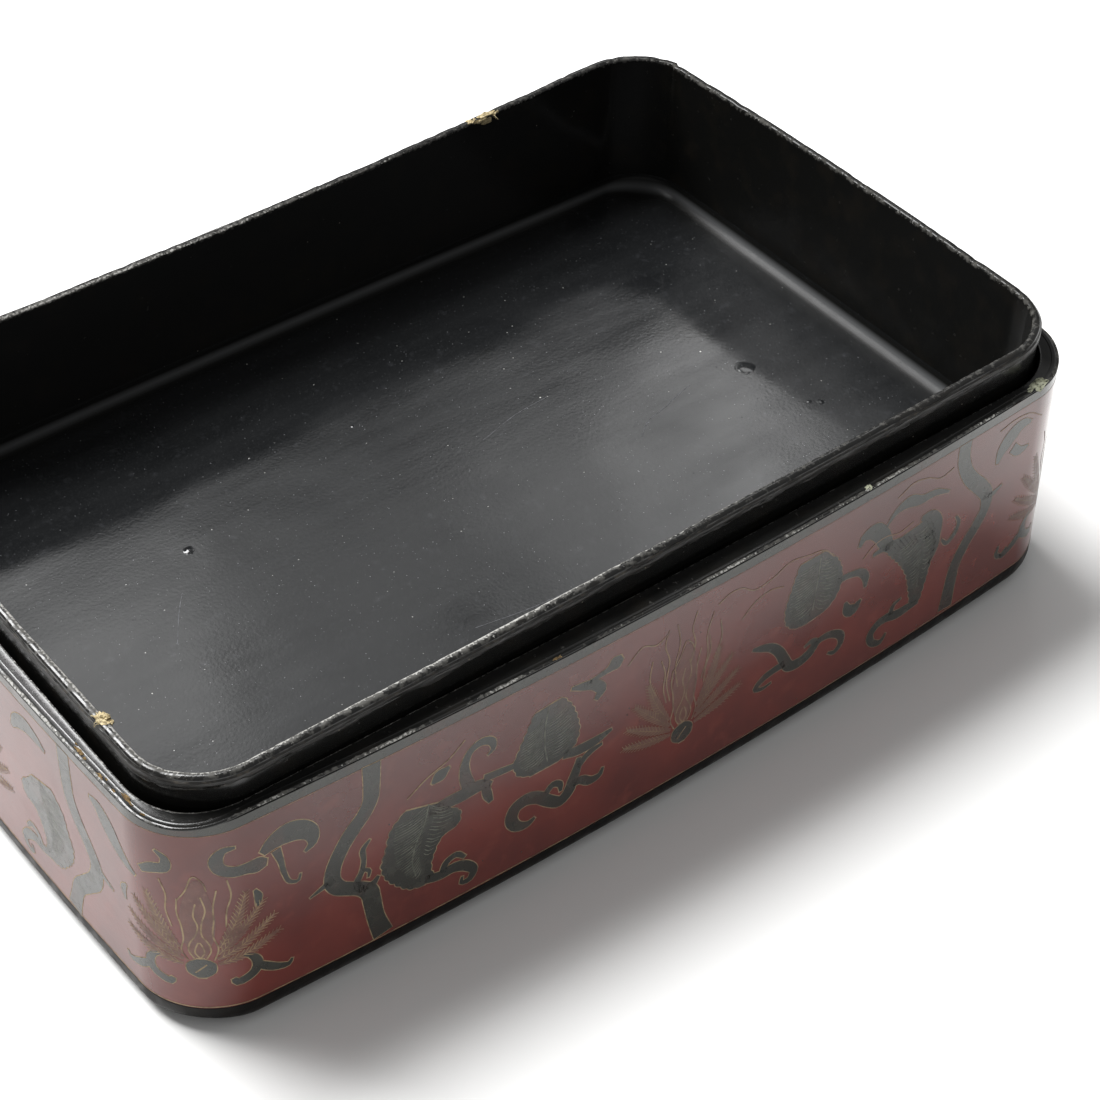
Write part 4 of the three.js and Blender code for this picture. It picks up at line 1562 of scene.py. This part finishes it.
def flake(spot, size, thick, turn, seed):
    """A ragged crumb of bare ground. spot, size and thick are in mm."""
    clear_selection()
    bpy.ops.mesh.primitive_circle_add(vertices=CRUMB_POINTS, radius=1, fill_type="NGON")
    crumb = bpy.context.object
    bpy.ops.object.mode_set(mode="EDIT")
    bpy.ops.mesh.select_all(action="SELECT")
    bpy.ops.mesh.extrude_region_move(TRANSFORM_OT_translate={"value": (0, 0, 1)})
    bpy.ops.mesh.inset(thickness=0.22)
    bpy.ops.mesh.inset(thickness=0.3)
    bpy.ops.mesh.select_all(action="SELECT")
    bpy.ops.mesh.normals_make_consistent(inside=False)
    bpy.ops.object.mode_set(mode="OBJECT")
    turned = Matrix.Rotation(turn, 3, "Z")
    for vertex in crumb.data.vertices:
        x, y, z = vertex.co
        jag = 1 + 0.9 * noise.noise(Vector((x * 1.7, y * 1.7, seed)))
        lump = 0.75 + 0.6 * noise.noise(Vector((x * 3, y * 3, seed + 5)))
        flat = turned @ Vector((x * size[0] / 2 * jag, y * size[1] / 2 * jag, 0))
        vertex.co = (Vector(spot) + flat + Vector((0, 0, z * thick * lump))) * MM
    return crumb


# %% A fibre
FIBRE_SIDES = 5
FIBRE_THICK = 0.26


def fibre(points):
    """A thin thread through given points in mm, drawn out to a tip."""
    line = smooth_line(points, FINE_GAP)
    clear_selection()
    bpy.ops.mesh.primitive_circle_add(vertices=FIBRE_SIDES, radius=FIBRE_THICK / 2, fill_type="NGON")
    thread = bpy.context.object
    bpy.ops.object.mode_set(mode="EDIT")
    bpy.ops.mesh.select_all(action="SELECT")
    for step in line[1:]:
        bpy.ops.mesh.extrude_region_move(TRANSFORM_OT_translate={"value": (0, 0, 1)})
    bpy.ops.mesh.select_all(action="SELECT")
    bpy.ops.object.mode_set(mode="OBJECT")
    for index, vertex in enumerate(thread.data.vertices):
        row, corner = divmod(index, FIBRE_SIDES)
        way = Vector(line[min(row + 1, len(line) - 1)] - line[max(row - 1, 0)]).normalized()
        side = way.orthogonal().normalized()
        radius = FIBRE_THICK / 2 * (1 - 0.7 * row / len(line))
        round_it = Matrix.Rotation(2 * math.pi * corner / FIBRE_SIDES, 3, way)
        vertex.co = (Vector(line[row]) + round_it @ side * radius) * MM
    bpy.ops.object.mode_set(mode="EDIT")
    bpy.ops.mesh.normals_make_consistent(inside=False)
    bpy.ops.object.mode_set(mode="OBJECT")
    return thread


# %% The two chips on the tray's rim
LIP_MIDDLE = -1.6
CHIP_DEPTH = 0.5
FIBRE_SEED = 7


def rim_spot(x, y):
    """The spot in mm on the tray's lip nearest to x and y, a little below its top."""
    lip = rim_ring(LIP_MIDDLE, RIM_TOP - CHIP_DEPTH) / MM
    return lip[np.argmin(np.linalg.norm(lip[:, :2] - (x, y), axis=1))]


left_chip = rim_spot(-151, -62.5)
far_chip = rim_spot(80, 94)
crumbs = [
    flake(left_chip, (2.6, 4.6), 0.6, 0.1, 1.0),
    flake(left_chip + (1.2, -1.2, -0.4), (1.8, 2.2), 0.8, 0.6, 2.0),
    flake(left_chip + (-0.6, 2.4, -0.1), (1.4, 2.0), 0.5, 0.2, 3.0),
    flake(left_chip + (1.0, 0.6, 0.1), (1.6, 3.0), 0.9, 0.4, 7.0),
    flake(far_chip + (2.0, 0.0, 0.2), (6.4, 2.4), 0.5, 0.05, 4.0),
    flake(far_chip + (-3.4, -0.3, 0.1), (3.6, 2.0), 0.5, 0.0, 5.0),
    flake(far_chip + (0.4, -1.0, -0.7), (5.4, 0.9), 1.0, 0.0, 6.0),
    flake(far_chip + (2.2, -1.1, -2.0), (4.6, 0.7), 1.9, 0.0, 8.0),
    flake(far_chip + (6.0, -0.4, -0.3), (2.6, 1.6), 0.8, 0.3, 9.0),
]
draws = np.random.default_rng(FIBRE_SEED)
tufts = [(7, left_chip, (1.6, 3.0), 2.2), (9, far_chip, (7.0, 1.0), 1.8)]
for count, middle, spread, drop in tufts:
    for step in range(count):
        root = middle + np.append(draws.uniform(-1, 1, 2) * spread, -0.2)
        aside = draws.uniform(-1, 1, 2) * np.array(spread[::-1]) * 0.5
        way = np.append(aside, -drop * draws.uniform(0.1, 0.6))
        bend = np.append(draws.uniform(-0.5, 0.5, 2), 0.35)
        crumbs.append(fibre([root, root + way * 0.5 + bend, root + way]))
rim_chips = join_sheets(crumbs, "rim_chips_and_fibres")
place_piece(rim_chips, bare_ground, "tray")

# %% [markdown]
# Flakes on the ledge.
# The ledge's rim has lost flakes too, putty grey at the right end and stained
# brown along the left. They are the same crumbs, turned to run along the wall.
# Each row is a place along the wall, how far out it lies, a length and a width.

# %% Flakes on the ledge
CHIP_THICK = 0.42
CHIP_DOWN = 0.3
PALE_CHIPS = [(136.5, -1.5, 8.6, 3.4), (132.4, -0.9, 2.4, 1.1), (66.0, -1.0, 2.2, 1.6)]
BROWN_CHIPS = [
    (-43.0, -0.5, 3.0, 0.7), (-188.0, -1.5, 3.6, 1.1), (-185.4, -1.1, 1.2, 0.6), (-190.6, -2.1, 1.3, 0.5),
    (-178.0, -0.9, 2.6, 0.8), (-176.2, -1.5, 1.0, 0.6), (-168.4, -1.9, 4.4, 0.9), (-171.8, -0.8, 1.7, 0.7),
    (-165.2, -1.4, 1.2, 0.5), (-161.0, -0.6, 1.6, 0.4),
]


def ledge_chips(name, rows, first_seed, finish):
    """One piece of flakes along the ledge, each turned to the wall's run there."""
    crumbs = []
    for number, (along, out, length, width) in enumerate(rows):
        height = np.full(2, LEDGE_TOP - CHIP_DOWN)
        spots = on_wall(np.array([along, along + 1]), height, out)
        run = spots[1] - spots[0]
        turn = math.atan2(run[1], run[0])
        crumbs.append(flake(spots[0], (length, width), CHIP_THICK, turn, first_seed + number))
    place_piece(join_sheets(crumbs, name), finish, "box")


ledge_chips("ledge_chips_pale", PALE_CHIPS, 10.0, pale_ground)
ledge_chips("ledge_chips_brown", BROWN_CHIPS, 13.0, brown_ground)

# %% [markdown]
# Dust blisters on the floor.
# Where a grain of dust was caught under the last coat, the lacquer swells over it.
# A bump would not change what the floor mirrors at its edge, so each blister is a
# low dome: a ball, cut in half, flattened and given a skirt that runs out flat.

# %% Dust blisters
SKIRT_DOWN = 0.05
SKIRT_RISE = 0.07


def blister(x, y, width, height, seed):
    """A low lumpy swelling in the lacquer. Places and sizes are in mm."""
    clear_selection()
    bpy.ops.mesh.primitive_uv_sphere_add(segments=24, ring_count=14, radius=1)
    dome = bpy.context.object
    bpy.ops.object.mode_set(mode="EDIT")
    bpy.ops.mesh.select_all(action="SELECT")
    bpy.ops.mesh.bisect(plane_co=(0, 0, 0), plane_no=(0, 0, 1), use_fill=True, clear_inner=True)
    bpy.ops.mesh.select_all(action="SELECT")
    bpy.ops.mesh.normals_make_consistent(inside=False)
    bpy.ops.object.mode_set(mode="OBJECT")
    for vertex in dome.data.vertices:
        spot = vertex.co.copy()
        lump = 1 + 0.35 * noise.noise(spot * 1.6 + Vector((seed, 0, 0)))
        away = min(1.0, math.hypot(spot.x, spot.y))
        upper = spot.z > 0
        swell = (1 - away ** 2) ** 2 * lump if upper else 0
        if away:
            spread = away ** 0.8 * lump / away * width / 2
            spot.x, spot.y = spot.x * spread, spot.y * spread
        rise = FLOOR_TOP - SKIRT_DOWN + SKIRT_RISE * upper + swell * height
        vertex.co = Vector((x + spot.x, y + spot.y, rise)) * MM
    bpy.ops.object.shade_smooth_by_angle(angle=math.radians(60))
    return dome


domes = [
    blister(-77.3, 22.9, 3.4, 0.36, 1.0),
    blister(106.9, -8.8, 6.4, 0.17, 2.0),
    blister(114.6, -35.4, 2.6, 0.12, 3.0),
    blister(112.0, -33.2, 1.6, 0.1, 4.0),
    blister(-8.0, 41.0, 1.2, 0.1, 5.0),
]
floor_blisters = join_sheets(domes, "floor_blisters")
place_piece(floor_blisters, floor_lacquer, "tray")

# %% [markdown]
# Scratches on the floor.
# Hairline scratches run where something hard was dragged over the floor. They are
# thinner than any pattern on the floor could be drawn, so each is a narrow ribbon,
# made as the brush strokes were, and laid just above the lacquer.

# %% Scratches on the floor
SCRATCHES = [
    [(67.4, -10.1, 0.12), (74, -8.9, 0.2), (80, -6.8, 0.24), (87.6, -5.0, 0.12)],
    [(60, -15.2, 0.08), (64, -12, 0.14), (67.4, -10.1, 0.1)],
    [(-30, -52, 0.1), (-12, -55, 0.13), (4, -56, 0.08)],
    [(20, 12, 0.08), (36, 16, 0.12), (48, 17, 0.08)],
    [(-100, -8, 0.08), (-92, 4, 0.12), (-88, 9, 0.08)],
]
marks = [ribbon(*brush_edges(stroke), FLOOR_TOP + CLEAR) for stroke in SCRATCHES]
floor_scratches = join_sheets(marks, "floor_scratches")
for vertex in floor_scratches.data.vertices:
    vertex.co *= MM
place_piece(floor_scratches, scratch_finish, "tray")
